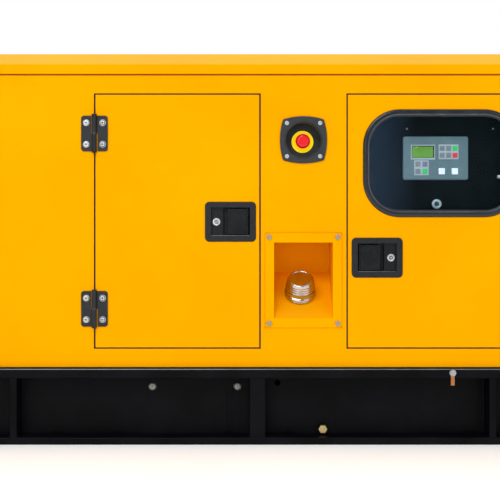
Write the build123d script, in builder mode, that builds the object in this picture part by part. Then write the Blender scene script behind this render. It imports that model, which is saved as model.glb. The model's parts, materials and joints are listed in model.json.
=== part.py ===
"""Skid-mounted diesel generating set in a sound-proof canopy.

A fabricated steel skid carries the fuel tank, the engine, the generator and a sheet-steel canopy.
X runs along the set with the radiator end at -X and the control end at +X, the front with the
control window faces -Y, and Z is up. The origin is under the middle of the set, on the ground.
All sizes are in millimetres.
"""

import os
from math import atan2, cos, radians, sin, tan

from build123d import *

os.makedirs("parts", exist_ok=True)

# ------------------------------------------------------------------ driving dimensions
canopy_length = 2000
canopy_width = 860
wall_height = 787
corner_radius = 16  # vertical bends of the canopy
sheet = 2  # canopy, door and cabinet sheet
gasket_height = 4  # rubber strips under the walls and under the roof
gasket_width = 20
gasket_inset = 6  # how far the strips stand back from the wall face

skid_height = 204
skid_ledge = 15  # the skid stands this far outside the canopy walls
rail_depth = 70  # the side rails' tubes, front to back
top_tube_height = 26
bottom_tube_height = 20
tube_wall = 3
tube_round = 4  # outer corners of the skid's tubes
web_plate = 4
upright_width = 20
centre_upright_width = 43
upright_left_x = -657
upright_right_x = 633
upright_recess = 2
end_beam_width = 60
deck_beam_width = 60
deck_beam_height = 44
deck_drop = 5  # deck beams lie this far under the skid's top
lug_reach = 70
lug_plate = 14
lug_height = 120
lug_hole_radius = 22
anchor_hole_radius = 9
anchor_spacing_x = 1800

wall_return = 30  # how far the side walls wrap round the corners
wall_flange = 34  # inward folds along the walls' top and bottom
end_seam = 1.5
end_fold = 25
roof_overhang = 6
roof_skirt = 25
roof_rise = 34
roof_slope = 45  # degrees
roof_bend = 5

door_gap = 4
door_depth = 25
jamb_depth = 30
seal_lip = 18
door_bottom = 257  # opening's lower edge
door_top_margin = 48  # from the opening's upper edge to the wall's top
left_door_x = -216.5
left_door_width = 451
right_door_x = 498.5
right_door_width = 517
hinge_margin_top = 109  # from the opening's edges to the hinges' middles
hinge_margin_bottom = 108

hinge_height = 96
hinge_half_width = 36
leaf_thickness = 3
leaf_edge = 9  # leaf edge to the axis where the other leaf's knuckle passes
leaf_corner = 8
knuckle_radius = 6.75
knuckle_height = 104
axis_offset = 7.5  # hinge axis outside the face
pin_radius = 3.5
running_fit = 0.06
hinge_gap = 0.3
hinge_screw_x = 22
hinge_screw_z = 29
screw_head_radius = 7.5
screw_head_height = 4
screw_shank_radius = 3.5
screw_shank_length = 12
screw_hole_fit = 0.15
socket_radius = 2.4

bezel_width = 138
bezel_height = 108
bezel_corner = 12
bezel_proud = 3
cup_width = 112
cup_height = 84
cup_depth = 30
cup_fit = 0.5
pocket_half_width = 52.5
pocket_half_height = 38.5
shelf_depth = 8
shelf_edge = -20  # where the lock's shelf ends and the finger slot begins
lock_x = -38
lock_radius = 10
lock_proud = 3
paddle_left = -9
paddle_half_height = 35
paddle_front = 1
paddle_thickness = 7
paddle_lip = 6
paddle_pivot_x = 46
paddle_pivot_depth = 7
paddle_barrel_radius = 4.5
trunnion_radius = 3
cam_length = 26
left_latch_x = -73
right_latch_x = 323
left_latch_z = 600
right_latch_z = 503

window_x = right_door_x
window_below_top = 189  # window's middle below the door opening's upper edge
window_width = 428
window_height = 292
window_corner = 100
seal_band = 21
seal_proud = 6
seal_groove = 8
pane_thickness = 4

estop_x = 124
estop_z = 821
estop_corner = 55
estop_bulge = 63.6
estop_plate_thickness = 5
estop_cup_radius = 48
estop_cup_wall = 2.5
estop_cup_depth = 58
estop_screw_pitch = 44.7
estop_ring_radius = 30
estop_ring_thickness = 2.5
estop_stem_radius = 8
estop_head_radius = 20
estop_head_height = 18
estop_travel = 6
estop_screw_radius = 6

recess_x = 124
recess_bottom = 340
recess_top = 544
recess_width = 159
recess_depth = 145
recess_back_bottom = 461
neck_offset = -6  # the filler neck stands this far along X from the recess's middle
recess_flange_width = 206
recess_flange_height = 255
recess_screw_x = 92.5
recess_screw_z = 116.5
neck_radius = 30
neck_wall = 3
neck_above = 45
neck_below = 45
cap_radius = 43
cap_top_radius = 35
cap_height = 57
cap_clearance = 3
cap_gasket_height = 2.5
hose_wall = 5
hose_fit = 0.3
hose_bend = 60
hose_lap = 25
stub_back = 76.5  # from the middle of the neck's foot back to the tank's stub

tank_bottom = bottom_tube_height
tank_top = 150
tank_gap = 8
tank_half_length = 560
tank_x = 40
tank_wall = 3
stub_height = 38

panel_setback = 80
cabinet_width = 474
cabinet_depth = 120
cabinet_bottom = 400
cabinet_top = 955
post_width = 30
controller_width = 180
controller_height = 120
controller_x = 493
controller_proud = 10
controller_z = 778
controller_back_width = 166
controller_back_height = 106
controller_back_depth = 38
controller_fit = 0.5
key_size = 14
key_height = 1.2
panel_lock_x = 497
panel_lock_z = 651
panel_lock_radius = 9
panel_lock_ring = 13.5
breaker_width = 105
breaker_height = 150
breaker_proud = 25
breaker_z = 480
toggle_width = 14

crank_z = 470
engine_front = -620  # the belt end of the block
engine_length = 480
block_half_width = 140
block_height_below = 100
block_height_above = 220
casting_wall = 18
head_half_width = 110
head_height = 78
cover_half_width = 82
cover_height = 66
housing_length = 100
housing_radius = 190
flywheel_radius = 160
generator_length = 480
generator_radius = 175
stator_radius = 124
rotor_radius = 120
shaft_radius = 28
shaft_fit = 0.5
belt_x = -652  # belt plane
belt_width = 14
belt_thickness = 8
belt_gap = 0.4
rim_height = 5
rim_width = 4
crank_pulley_radius = 80
fan_pulley_radius = 58
charger_pulley_radius = 34
fan_above_crank = 175
fan_radius = 200
fan_hub_radius = 45
fan_blades = 7
charger_y = -215
charger_above_crank = 125
charger_radius = 66
charger_length = 130
radiator_from_end = 250
radiator_thickness = 60
radiator_half_width = 290
radiator_bottom = 290
radiator_top_margin = 95
radiator_tank = 60
shroud_clearance = 12
mount_radius = 30
mount_height = 50
foot_thickness = 16
foot_y = 215
saddle_y = 110
foot_lap = 60  # how far a foot reaches up the casting

muffler_radius = 72
muffler_half_length = 250
muffler_from_end = 110
muffler_below_roof = 175
pipe_radius = 25
pipe_wall = 2.5
pipe_bend = 60
outlet_y = -150
outlet_radius = 30
outlet_above_roof = 45
flap_radius = 34
flap_thickness = 3
flap_pivot = 42

battery_length = 230
battery_width = 170
battery_height = 190

front_mount_inset = 60
rear_mount_inset = 90
battery_x = -285
battery_beam_pitch = 230
battery_margin = 12
battery_round = 6
terminal_back = 30
terminal_radius = 8
strap_x = 400
earth_x = 524
earth_below_top = 10
earth_eye_radius = 9
earth_tag_length = 34
earth_tag_width = 10
earth_tag_thickness = 2
earth_bolt_height = 6

blade_width = 34
blade_tilt = 40
blade_pitch = 24
louvre_depth = 30
rear_bank_x = 560
rear_bank_z = 520
rear_bank_width = 420
rear_bank_height = 320
end_bank_z = 600
end_bank_width = 600
end_bank_height = 560
intake_z = 640
intake_height = 480
outlet_box_z = 300
outlet_box_width = 240
outlet_box_height = 90
outlet_hole_gap = 2

recess_corner = 6
neck_flange = 9
neck_flange_height = 2
cap_skirt_height = 25
cap_shoulder_height = 40
cap_round = 3
cap_bore_fit = 0.5
estop_corner_round = 4
estop_edge_round = 1.5
contacts_width = 48
contacts_height = 64
contacts_depth = 45
contacts_bore = 30
estop_end_gap = 2
estop_crown = 6
estop_waist_radius = 14
estop_waist_height = 5
estop_head_round = 5
head_stem_radius = 5

pin_end = 3
door_fold = 13.5
cam_gap = 2
cam_plate = 3
cam_width = 14
key_slot = 2
arm_gap = 1
paddle_round = 2
lip_thickness = 3
edge_round = 2
controller_corner = 6
panel_lock_proud = 4
panel_lock_round = 1.5
panel_lock_depth = 18
breaker_behind = 40
toggle_depth = 4
toggle_room = 12
toggle_thickness = 12
toggle_proud = 14
toggle_round = 1.5
toggle_hub_radius = 7
toggle_pin_length = 30
toggle_fit = 4

casting_round = 10
timing_half_width = 112
head_inset = 10
cover_round = 16
manifold_inset = 60
manifold_round = 14
pan_back_inset = 40
pan_half_width = 100
pan_round = 10
pan_wall = 4
cleaner_x = -210
cleaner_length = 240
cleaner_wall = 12
can_round = 6
duct_width = 40
duct_rise = 10
starter_length = 190
starter_y = 190
starter_z = 430
starter_radius = 44
starter_bracket = 30
filter_x = (-300, -220)
filter_z = 520
filter_radius = 38
filter_gap = 10
filter_height = 120
pulley_dish = 10
pulley_web = 12
end_bracket = 40
shaft_end_gap = 6
flywheel_gap = 20
flywheel_width = 30
rotor_margin = 45
blade_root = 4
blade_thickness = 3
blade_chord = 60
fan_spacer_radius = 22
charger_gap = 6
charger_shaft = 8
charger_bracket = 30
charger_bore = 60
core_recess = 10
core_frame = 25
radiator_leg_y = 250
shroud_gap = 2
shroud_wall = 3
shroud_inset = 20
terminal_inset = 60
terminal_length = 240
terminal_half_width = 120
terminal_height = 75
terminal_wall = 4
adaptor_lap = 30
adaptor_wall = 12
mount_round = 3
riser_inset = 110
flap_pivot_rise = 3
flap_gap = 0.5
flap_hub_radius = 5
ear_root = 0.8  # of the outlet's radius
ear_margin = 6
ear_drop = 14
ear_rise = 8

arm_plate = 3
yoke_depth = 42  # deep enough for the yoke to swing clear behind the cup
yoke_plate = 4
yoke_reach = 12
toggle_slot = 56
toggle_pin_radius = 3
timing_thickness = 16
fan_shaft_radius = 12
belt_side_gap = 1
fan_front = -707
fan_back = -673
fan_pitch = 28
pan_bottom = 285
cleaner_y = -230
cleaner_z = 800
cleaner_radius = 75
pipe_below_roof = 50
flap_pin_length = 24
flap_pin_radius = 2.5
ear_plate = 4
muffler_round = 12
manifold_width = 55
manifold_half = 25
key_places = [(17.9 + 17.8 * i, 26.7 - 18.9 * j) for j in (0, 1) for i in (0, 1, 2)]
key_places += [(-49 + 19.4 * i, -16.8 - 20.2 * j) for j in (0, 1) for i in (0, 1)]
key_places += [(16.7, -36.4), (52.9, -36.4)]

# ------------------------------------------------------------------ derived places
half_length = canopy_length / 2
half_width = canopy_width / 2
wall_bottom = skid_height + gasket_height
wall_top = wall_bottom + wall_height
roof_bottom = wall_top + gasket_height
roof_top = roof_bottom + roof_skirt + roof_rise
skid_half_length = half_length + skid_ledge
skid_half_width = half_width + skid_ledge
web_inside = skid_half_width - rail_depth
deck_top = skid_height - deck_drop
deck_bottom = deck_top - deck_beam_height
door_top = wall_top - door_top_margin
opening_height = door_top - door_bottom
opening_z = (door_top + door_bottom) / 2
window_z = door_top - window_below_top
panel_y = -half_width + panel_setback
engine_back = engine_front + engine_length
generator_front = engine_back + housing_length
generator_back = generator_front + generator_length
block_top = crank_z + block_height_above
block_bottom = crank_z - block_height_below
fan_z = crank_z + fan_above_crank
charger_z = crank_z + charger_above_crank
radiator_x = -half_length + radiator_from_end
radiator_top = wall_top - radiator_top_margin
mount_top = deck_top + mount_height
muffler_x = -half_length + muffler_from_end
muffler_z = roof_bottom - muffler_below_roof

front_face = Plane(origin=(0, -half_width, 0), x_dir=(1, 0, 0), z_dir=(0, -1, 0))
rear_face = Plane(origin=(0, half_width, 0), x_dir=(-1, 0, 0), z_dir=(0, 1, 0))
left_face = Plane(origin=(-half_length, 0, 0), x_dir=(0, -1, 0), z_dir=(-1, 0, 0))
right_face = Plane(origin=(half_length, 0, 0), x_dir=(0, 1, 0), z_dir=(1, 0, 0))


# ------------------------------------------------------------------ helpers
def save(piece, name):
    """Labels a finished piece and writes its STEP file."""
    piece.label = name
    export_step(piece, f"parts/{name}.step")


def save_group(pieces, name):
    """Writes several separate solids as one node."""
    solids = [solid for piece in pieces for solid in piece.solids()]
    save(Compound(label=name, children=solids), name)


def block(x0, x1, y0, y1, z0, z1, mode=Mode.ADD):
    """A box between two corners, in the part being built."""
    with Locations(((x0 + x1) / 2, (y0 + y1) / 2, (z0 + z1) / 2)):
        Box(abs(x1 - x0), abs(y1 - y0), abs(z1 - z0), mode=mode)


def slab(place, u0, u1, v0, v1, near, far, mode=Mode.ADD):
    """A box on a face, between two depths below it, in the part being built."""
    with Locations(place.location * Location(((u0 + u1) / 2, (v0 + v1) / 2, -(near + far) / 2))):
        Box(abs(u1 - u0), abs(v1 - v0), abs(far - near), mode=mode)


def disc(place, u, v, radius, near, far, mode=Mode.ADD):
    """A round bar square to a face, between two depths below it, in the part being built."""
    with Locations(place.location * Location((u, v, -(near + far) / 2))):
        Cylinder(radius, abs(far - near), mode=mode)


def post(place, u, depth, radius, v0, v1, mode=Mode.ADD):
    """A round bar upright on a face, its axis at one depth below it, in the part being built."""
    with Locations(place.location * Location((u, (v0 + v1) / 2, -depth), (90, 0, 0))):
        Cylinder(radius, abs(v1 - v0), mode=mode)


def bar_x(x0, x1, y, z, radius, mode=Mode.ADD):
    """A round bar along X, in the part being built."""
    with Locations(Location(((x0 + x1) / 2, y, z), (0, 90, 0))):
        Cylinder(radius, abs(x1 - x0), mode=mode)


def spot(face, x, z, toward=1):
    """A plane on an outer face at x, z, its Y pointing up or down and its X along X times toward."""
    return Plane(origin=(x, face.origin.Y, z), x_dir=(toward, 0, 0), z_dir=face.z_dir)


def up_sign(place):
    """+1 where the plane's Y points up, -1 where it points down."""
    return 1 if place.y_dir.Z > 0 else -1


def shift(place, u, v):
    """The same plane moved along its own axes."""
    return Plane(origin=place.from_local_coords((u, v, 0)), x_dir=place.x_dir, z_dir=place.z_dir)


def frame_tube(x0, x1, y0, y1, z0, z1, along):
    """A rectangular hollow section between two corners, open along one axis."""
    dx, dy, dz = [0 if axis == along else tube_wall for axis in "XYZ"]
    y0, y1 = sorted((y0, y1))
    with BuildPart() as tube:
        block(x0, x1, y0, y1, z0, z1)
        fillet(tube.edges().filter_by({"X": Axis.X, "Y": Axis.Y, "Z": Axis.Z}[along]), tube_round)
        block(x0 + dx, x1 - dx, y0 + dy, y1 - dy, z0 + dz, z1 - dz, mode=Mode.SUBTRACT)
    return tube.part


def screw(place, seat=0, head_radius=screw_head_radius, shank=screw_shank_length):
    """A button-head socket screw standing on the plane raised by seat, its shank pointing in."""
    with BuildPart() as made:
        disc(place, 0, 0, head_radius, -seat, -seat - screw_head_height)
        fillet(made.faces().sort_by(Axis(place.origin, place.z_dir))[-1].edges(), 0.45 * screw_head_height)
        disc(place, 0, 0, socket_radius, -seat - screw_head_height / 2, -seat - screw_head_height, Mode.SUBTRACT)
        disc(place, 0, 0, screw_shank_radius, shank - seat, -seat)
    return made.part


# ------------------------------------------------------------------ doors, hinges and latches: places
# each door: its face, hinge line, +1 or -1 from the hinge line to the door, opening's middle and width
hinge_line_left = left_door_x - left_door_width / 2 + door_gap / 2
hinge_line_right = right_door_x + right_door_width / 2 - door_gap / 2
hinge_heights = (door_bottom + hinge_margin_bottom, door_top - hinge_margin_top)
doors = {
    "front_left": (front_face, hinge_line_left, 1, left_door_x, left_door_width),
    "front_right": (front_face, hinge_line_right, -1, right_door_x, right_door_width),
    "rear": (rear_face, hinge_line_left, 1, left_door_x, left_door_width),
}
latches = {
    "front_left": spot(front_face, left_latch_x, left_latch_z, 1),
    "front_right": spot(front_face, right_latch_x, right_latch_z, -1),
    "rear": spot(rear_face, left_latch_x, left_latch_z, 1),
}


def hinges_of(name):
    """The planes of one door's hinges, X pointing to the door."""
    face, line, toward, _, _ = doors[name]
    return [spot(face, line, z, toward) for z in hinge_heights]


def leaf_screws(name, side):
    """The screw places on one door's hinge leaves: side +1 on the door, -1 on the wall."""
    spots = [shift(hinge, side * hinge_screw_x, v) for hinge in hinges_of(name) for v in (-hinge_screw_z, hinge_screw_z)]
    return spots


def drill(places, radius, depth=2 * sheet):
    """Round holes through the sheet at these planes, in the part being built."""
    for place in places:
        disc(place, 0, 0, radius, -depth, depth, Mode.SUBTRACT)


# ------------------------------------------------------------------ skid
anchor_y = skid_half_width - rail_depth / 2
anchor_x = (-anchor_spacing_x / 2, anchor_spacing_x / 2)
plug_x = (-288, -54)
plug_z = 150
plug_radius = 10
plug_height = 7
plug_shank = 6
sight_hole_x = 55
sight_hole_z = 159
sight_hole_radius = 8
drain_x = 178
drain_z = 36
drain_radius = 11
drain_bore = 7
drain_proud = 20  # the drain's tube stands this far out of the web
hex_radius = 13
hex_height = 10
web_face = Plane(origin=(0, -web_inside - web_plate, 0), x_dir=(1, 0, 0), z_dir=(0, -1, 0))
tank_half_width = web_inside - tank_gap
rails = []
for side in (-1, 1):
    outside, inside = side * skid_half_width, side * web_inside
    rails.append(frame_tube(-skid_half_length, skid_half_length, outside, inside,
                            skid_height - top_tube_height, skid_height, "X"))
    bottom_tube = frame_tube(-skid_half_length, skid_half_length, outside, inside, 0, bottom_tube_height, "X")
    with BuildPart() as bottom_rail:
        add(bottom_tube)
        with Locations(*[(x, side * anchor_y, bottom_tube_height / 2) for x in anchor_x]):
            Cylinder(anchor_hole_radius, 2 * bottom_tube_height, mode=Mode.SUBTRACT)
    with BuildPart() as web:
        block(-skid_half_length, skid_half_length, inside, inside + side * web_plate,
              bottom_tube_height, skid_height - top_tube_height)
        if side < 0:
            for x in plug_x:
                disc(web_face, x, plug_z, plug_shank + screw_hole_fit, -web_plate, 2 * web_plate, Mode.SUBTRACT)
            disc(web_face, sight_hole_x, sight_hole_z, sight_hole_radius, -web_plate, 2 * web_plate, Mode.SUBTRACT)
            disc(web_face, drain_x, drain_z, drain_radius + screw_hole_fit, -web_plate, 2 * web_plate, Mode.SUBTRACT)
    rails += [bottom_rail.part, web.part]
    end_x = skid_half_length - upright_width / 2
    spread = ((-end_x, upright_width), (upright_left_x, upright_width), (0, centre_upright_width),
              (upright_right_x, upright_width), (end_x, upright_width))
    for x, width in spread:
        rails.append(frame_tube(x - width / 2, x + width / 2, outside - side * upright_recess,
                                inside + side * web_plate, bottom_tube_height, skid_height - top_tube_height, "Z"))
save_group(rails, "skid_side_rails")

front_mount_x = engine_front + front_mount_inset
rear_mount_x = generator_back - rear_mount_inset
post_x = (right_door_x - cabinet_width / 2 + post_width / 2, right_door_x + cabinet_width / 2 - post_width / 2)
deck_beams = (radiator_x, front_mount_x, battery_x - battery_beam_pitch / 2, battery_x + battery_beam_pitch / 2,
              post_x[0], rear_mount_x, post_x[1])
battery_y = -web_inside + battery_margin
cross = []
for end in (-1, 1):
    x0, x1 = sorted((end * skid_half_length, end * (skid_half_length - end_beam_width)))
    cross.append(frame_tube(x0, x1, -web_inside, web_inside, 0, skid_height, "Y"))
for x in deck_beams:
    cross.append(frame_tube(x - deck_beam_width / 2, x + deck_beam_width / 2, -web_inside, web_inside,
                            deck_bottom, deck_top, "Y"))
for x in (-strap_x, strap_x):
    cross.append(frame_tube(x - deck_beam_width / 2, x + deck_beam_width / 2, -web_inside, web_inside,
                            0, bottom_tube_height, "Y"))
with BuildPart() as battery_tray:
    tray_half = battery_length / 2 + battery_margin
    block(battery_x - tray_half, battery_x + tray_half, battery_y, battery_y + battery_width + 2 * battery_margin,
          deck_top, deck_top + tube_wall)
cross.append(battery_tray.part)
with BuildPart() as lug:
    with BuildSketch(Plane.XZ) as lug_face:
        with Locations((lug_reach / 2, 0)):
            Rectangle(lug_reach, lug_height)
        fillet(lug_face.vertices().sort_by(Axis.X)[-2:], lug_reach / 2)
        with Locations((lug_reach / 2, 0)):
            Circle(lug_hole_radius, mode=Mode.SUBTRACT)
    extrude(amount=lug_plate / 2, both=True)
for end in (-1, 1):
    for side in (-1, 1):
        turn = 0 if end > 0 else 180
        place = (end * skid_half_length, side * (web_inside - lug_plate), skid_height / 2)
        cross.append(lug.part.moved(Location(place, (0, 0, turn))))
save_group(cross, "skid_cross_beams")

# the tank hangs inside the skid; its filler stub points up and its drain out through the front web
stub_y = -half_width + recess_depth / 2 + stub_back
neck_x = recess_x + neck_offset
tank_left = tank_x - tank_half_length
tank_right = tank_x + tank_half_length
with BuildPart() as fuel_tank:
    block(tank_left, tank_right, -tank_half_width, tank_half_width, tank_bottom, tank_top)
    block(tank_left + tank_wall, tank_right - tank_wall, -tank_half_width + tank_wall, tank_half_width - tank_wall,
          tank_bottom + tank_wall, tank_top - tank_wall, Mode.SUBTRACT)
    with Locations((neck_x, stub_y, tank_top + stub_height / 2)):
        Cylinder(neck_radius, stub_height)
    disc(web_face, drain_x, drain_z, drain_radius, web_plate + tank_gap, -drain_proud)
    with Locations((neck_x, stub_y, tank_top)):
        Cylinder(neck_radius - neck_wall, 2 * stub_height + 1, mode=Mode.SUBTRACT)
    disc(web_face, drain_x, drain_z, drain_bore, 2 * web_plate + tank_gap + tank_wall, -drain_proud, Mode.SUBTRACT)
plugs = []
for x in plug_x:
    with BuildPart() as plug:
        disc(web_face, x, plug_z, plug_radius, 0, -plug_height)
        fillet(plug.faces().sort_by(Axis.Y)[0].edges(), 0.3 * plug_height)
        disc(web_face, x, plug_z, plug_shank, web_plate + tank_gap, 0)
    plugs.append(plug.part)
save_group([fuel_tank.part, *plugs], "fuel_tank")

with BuildPart() as drain_plug:
    with BuildSketch(Plane(origin=(drain_x, web_face.origin.Y - drain_proud, drain_z), x_dir=(1, 0, 0), z_dir=(0, -1, 0))):
        RegularPolygon(hex_radius, 6)
    extrude(amount=hex_height)
    chamfer(drain_plug.faces().sort_by(Axis.Y)[0].edges(), 1.2)
    disc(web_face, drain_x, drain_z, drain_bore - running_fit, 0, -drain_proud)
save(drain_plug.part, "drain_plug")

earth_place = Plane(origin=(earth_x, -skid_half_width, skid_height - earth_below_top), x_dir=(1, 0, 0), z_dir=(0, -1, 0))
with BuildPart() as earth_lug:
    with BuildSketch(earth_place):
        Circle(earth_eye_radius)
        with Locations((0, -earth_tag_length / 2)):
            Rectangle(earth_tag_width, earth_tag_length)
    extrude(amount=earth_tag_thickness)
with BuildPart() as earth_bolt:
    with BuildSketch(earth_place.offset(earth_tag_thickness)):
        RegularPolygon(earth_eye_radius, 6)
    extrude(amount=earth_bolt_height)
save_group([earth_lug.part, earth_bolt.part], "earth_stud")

# ------------------------------------------------------------------ canopy walls
def wall_band(side, bottom, height, thick):
    """A strip that follows one long wall and both its corner bends, in the part being built."""
    with BuildSketch(Plane.XY.offset(bottom)) as strip:
        RectangleRounded(canopy_length, canopy_width, corner_radius)
        inner_radius = max(corner_radius - thick, sheet / 4)
        RectangleRounded(canopy_length - 2 * thick, canopy_width - 2 * thick, inner_radius, mode=Mode.SUBTRACT)
        with Locations((0, -side * wall_return)):
            Rectangle(canopy_length + 1, canopy_width, mode=Mode.SUBTRACT)
    extrude(strip.sketch, amount=height)


def door_opening(face, middle, width):
    """A door's opening, its edges folded in and then to a lip for the seal, in the wall being built."""
    place = spot(face, middle, opening_z)
    u, v = width / 2, opening_height / 2
    slab(place, -u - sheet, u + sheet, -v - sheet, v + sheet, sheet / 2, jamb_depth)
    slab(place, -u, u, -v, v, -1, jamb_depth - sheet, Mode.SUBTRACT)
    slab(place, -u + seal_lip, u - seal_lip, -v + seal_lip, v - seal_lip, 0, 2 * jamb_depth, Mode.SUBTRACT)


def louvre(place, width, height):
    """An opening with a framed bank of slanted blades, in the wall being built."""
    count = round(height / blade_pitch)
    pitch = height / count
    slab(place, -width / 2 - sheet, width / 2 + sheet, -height / 2 - sheet, height / 2 + sheet, sheet / 2, louvre_depth)
    slab(place, -width / 2, width / 2, -height / 2, height / 2, -1, louvre_depth + 1, Mode.SUBTRACT)
    for index in range(count):
        v = -height / 2 + (index + 0.5) * pitch
        with Locations(place.location * Location((0, v, -louvre_depth / 2), (-blade_tilt * up_sign(place), 0, 0))):
            Box(width + sheet, sheet, blade_width)


for name, face, side in (("front_wall", front_face, -1), ("rear_wall", rear_face, 1)):
    with BuildPart() as wall:
        wall_band(side, wall_bottom, wall_height, sheet)
        wall_band(side, wall_bottom, sheet, wall_flange)
        wall_band(side, wall_top - sheet, sheet, wall_flange)
        for door, (door_face, _, _, middle, width) in doors.items():
            if door_face is face:
                door_opening(face, middle, width)
                drill(leaf_screws(door, -1), screw_shank_radius + screw_hole_fit)
        if side < 0:
            estop_hole = spot(face, estop_x, estop_z)
            disc(estop_hole, 0, 0, estop_cup_radius + estop_cup_wall + cup_fit, -1, 2 * sheet, Mode.SUBTRACT)
            estop_screws = [shift(estop_hole, u, v) for u in (-estop_screw_pitch, estop_screw_pitch)
                            for v in (-estop_screw_pitch, estop_screw_pitch)]
            drill(estop_screws, screw_shank_radius + screw_hole_fit)
            recess_place = spot(face, recess_x, (recess_bottom + recess_top) / 2)
            u = recess_width / 2 + sheet + cup_fit
            v = (recess_top - recess_bottom) / 2 + sheet + cup_fit
            slab(recess_place, -u, u, -v, v, -1, 2 * sheet, Mode.SUBTRACT)
            recess_screws = [shift(recess_place, u, v) for u in (-recess_screw_x, recess_screw_x)
                             for v in (-recess_screw_z, recess_screw_z)]
            drill(recess_screws, screw_shank_radius + screw_hole_fit)
        else:
            louvre(shift(face, -rear_bank_x, rear_bank_z), rear_bank_width, rear_bank_height)
    save(wall.part, name)

end_half = half_width - wall_return - end_seam
for name, face in (("left_end_wall", left_face), ("right_end_wall", right_face)):
    bank_height = end_bank_height if face is left_face else intake_height
    bank_z = end_bank_z if face is left_face else intake_z
    bank_place = Plane(origin=(face.origin.X, 0, bank_z), x_dir=face.x_dir, z_dir=face.z_dir)
    with BuildPart() as end_wall:
        slab(face, -end_half, end_half, wall_bottom, wall_top, 0, sheet)
        for v in (wall_bottom, wall_top - sheet):
            slab(face, -end_half, end_half, v, v + sheet, 0, end_fold)
        louvre(bank_place, end_bank_width, bank_height)
        if face is right_face:
            slab(face, -outlet_box_width / 2, outlet_box_width / 2, outlet_box_z - outlet_box_height / 2,
                 outlet_box_z + outlet_box_height / 2, -1, 2 * sheet, Mode.SUBTRACT)
    save(end_wall.part, name)


def gasket_ring(bottom):
    """A flat rubber strip that runs all round, set back from the wall faces."""
    with BuildPart() as ring:
        with BuildSketch(Plane.XY.offset(bottom)):
            RectangleRounded(canopy_length - 2 * gasket_inset, canopy_width - 2 * gasket_inset, corner_radius - gasket_inset)
            margin = 2 * (gasket_inset + gasket_width)
            Rectangle(canopy_length - margin, canopy_width - margin, mode=Mode.SUBTRACT)
        extrude(amount=gasket_height)
    return ring.part


save_group([gasket_ring(skid_height), gasket_ring(wall_top)], "wall_gaskets")


def roof_form(inset, bottom, top, mode=Mode.ADD):
    """The roof's outer form drawn in by inset: an upright skirt and a sloped band, in the part being built."""
    length = canopy_length + 2 * roof_overhang - 2 * inset
    width = canopy_width + 2 * roof_overhang - 2 * inset
    radius = corner_radius + roof_overhang - inset
    run = roof_rise / tan(radians(roof_slope))
    with BuildSketch(Plane.XY.offset(bottom)) as base:
        RectangleRounded(length, width, radius)
    extrude(base.sketch, amount=roof_bottom + roof_skirt - bottom, mode=mode)
    with BuildSketch(Plane.XY.offset(roof_bottom + roof_skirt)) as bend:
        RectangleRounded(length, width, radius)
    with BuildSketch(Plane.XY.offset(top)) as crown:
        RectangleRounded(length - 2 * run, width - 2 * run, radius)
    loft([bend.sketch, crown.sketch], mode=mode)


with BuildPart() as roof:
    roof_form(0, roof_bottom, roof_top)
    fillet(roof.faces().sort_by(Axis.Z)[-1].edges(), roof_bend)
    roof_form(sheet, roof_bottom - 1, roof_top - sheet, Mode.SUBTRACT)
    with BuildSketch(Plane.XY.offset(roof_bottom)):
        RectangleRounded(canopy_length + roof_overhang, canopy_width + roof_overhang, corner_radius)
        flange_in = 2 * (gasket_inset + gasket_width)
        Rectangle(canopy_length - flange_in, canopy_width - flange_in, mode=Mode.SUBTRACT)
    extrude(amount=sheet)
    with Locations((muffler_x, outlet_y, roof_top)):
        Cylinder(outlet_radius + outlet_hole_gap, 4 * roof_rise, mode=Mode.SUBTRACT)
save(roof.part, "roof")

# ------------------------------------------------------------------ filler recess
recess_z = (recess_bottom + recess_top) / 2
slope_angle = atan2(recess_back_bottom - recess_bottom, recess_depth)
slope_normal = Vector(0, -sin(slope_angle), cos(slope_angle))
neck_root = Vector(neck_x, -half_width + recess_depth / 2, (recess_bottom + recess_back_bottom) / 2)
neck_plane = Plane(origin=neck_root, x_dir=(1, 0, 0), z_dir=slope_normal)


def recess_prism(grow, mode=Mode.ADD):
    """The recess's inside, grown on every side by grow, in the part being built."""
    with BuildSketch(Plane.YZ.offset(recess_x)) as section:
        with BuildLine():
            Polyline((-half_width, recess_bottom - grow), (-half_width, recess_top + grow),
                     (-half_width + recess_depth + grow, recess_top + grow),
                     (-half_width + recess_depth + grow, recess_back_bottom - grow / 2),
                     (-half_width + grow / 2, recess_bottom - grow), close=True)
        make_face()
    extrude(section.sketch, amount=recess_width / 2 + grow, both=True, mode=mode)


with BuildPart() as filler_recess:
    recess_prism(sheet)
    slab(spot(front_face, recess_x, recess_z), -recess_flange_width / 2, recess_flange_width / 2,
         -recess_flange_height / 2, recess_flange_height / 2, 0, -sheet)
    fillet(filler_recess.edges().filter_by(Axis.Y).filter_by(lambda edge: edge.length < 1.5 * sheet), recess_corner)
    recess_prism(0, Mode.SUBTRACT)
    slab(spot(front_face, recess_x, recess_z), -recess_width / 2, recess_width / 2,
         recess_bottom - recess_z, recess_top - recess_z, 1, -2 * sheet, Mode.SUBTRACT)
    drill(recess_screws, screw_shank_radius + screw_hole_fit)
    disc(neck_plane, 0, 0, neck_radius, -2 * sheet, 4 * sheet, Mode.SUBTRACT)
save(filler_recess.part, "filler_recess")

with BuildPart() as filler_neck:
    disc(neck_plane, 0, 0, neck_radius, neck_below, -neck_above)
    disc(neck_plane, 0, 0, neck_radius + neck_flange, 0, -neck_flange_height)
    disc(neck_plane, 0, 0, neck_radius - neck_wall, neck_below + 1, -neck_above - 1, Mode.SUBTRACT)
save(filler_neck.part, "filler_neck")

with BuildPart() as fuel_cap_gasket:
    disc(neck_plane, 0, 0, neck_radius, -neck_above, -neck_above - cap_gasket_height)
    disc(neck_plane, 0, 0, neck_radius - 2 * neck_wall, -neck_above + 1, -neck_above - cap_gasket_height - 1, Mode.SUBTRACT)
save(fuel_cap_gasket.part, "fuel_cap_gasket")

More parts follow.
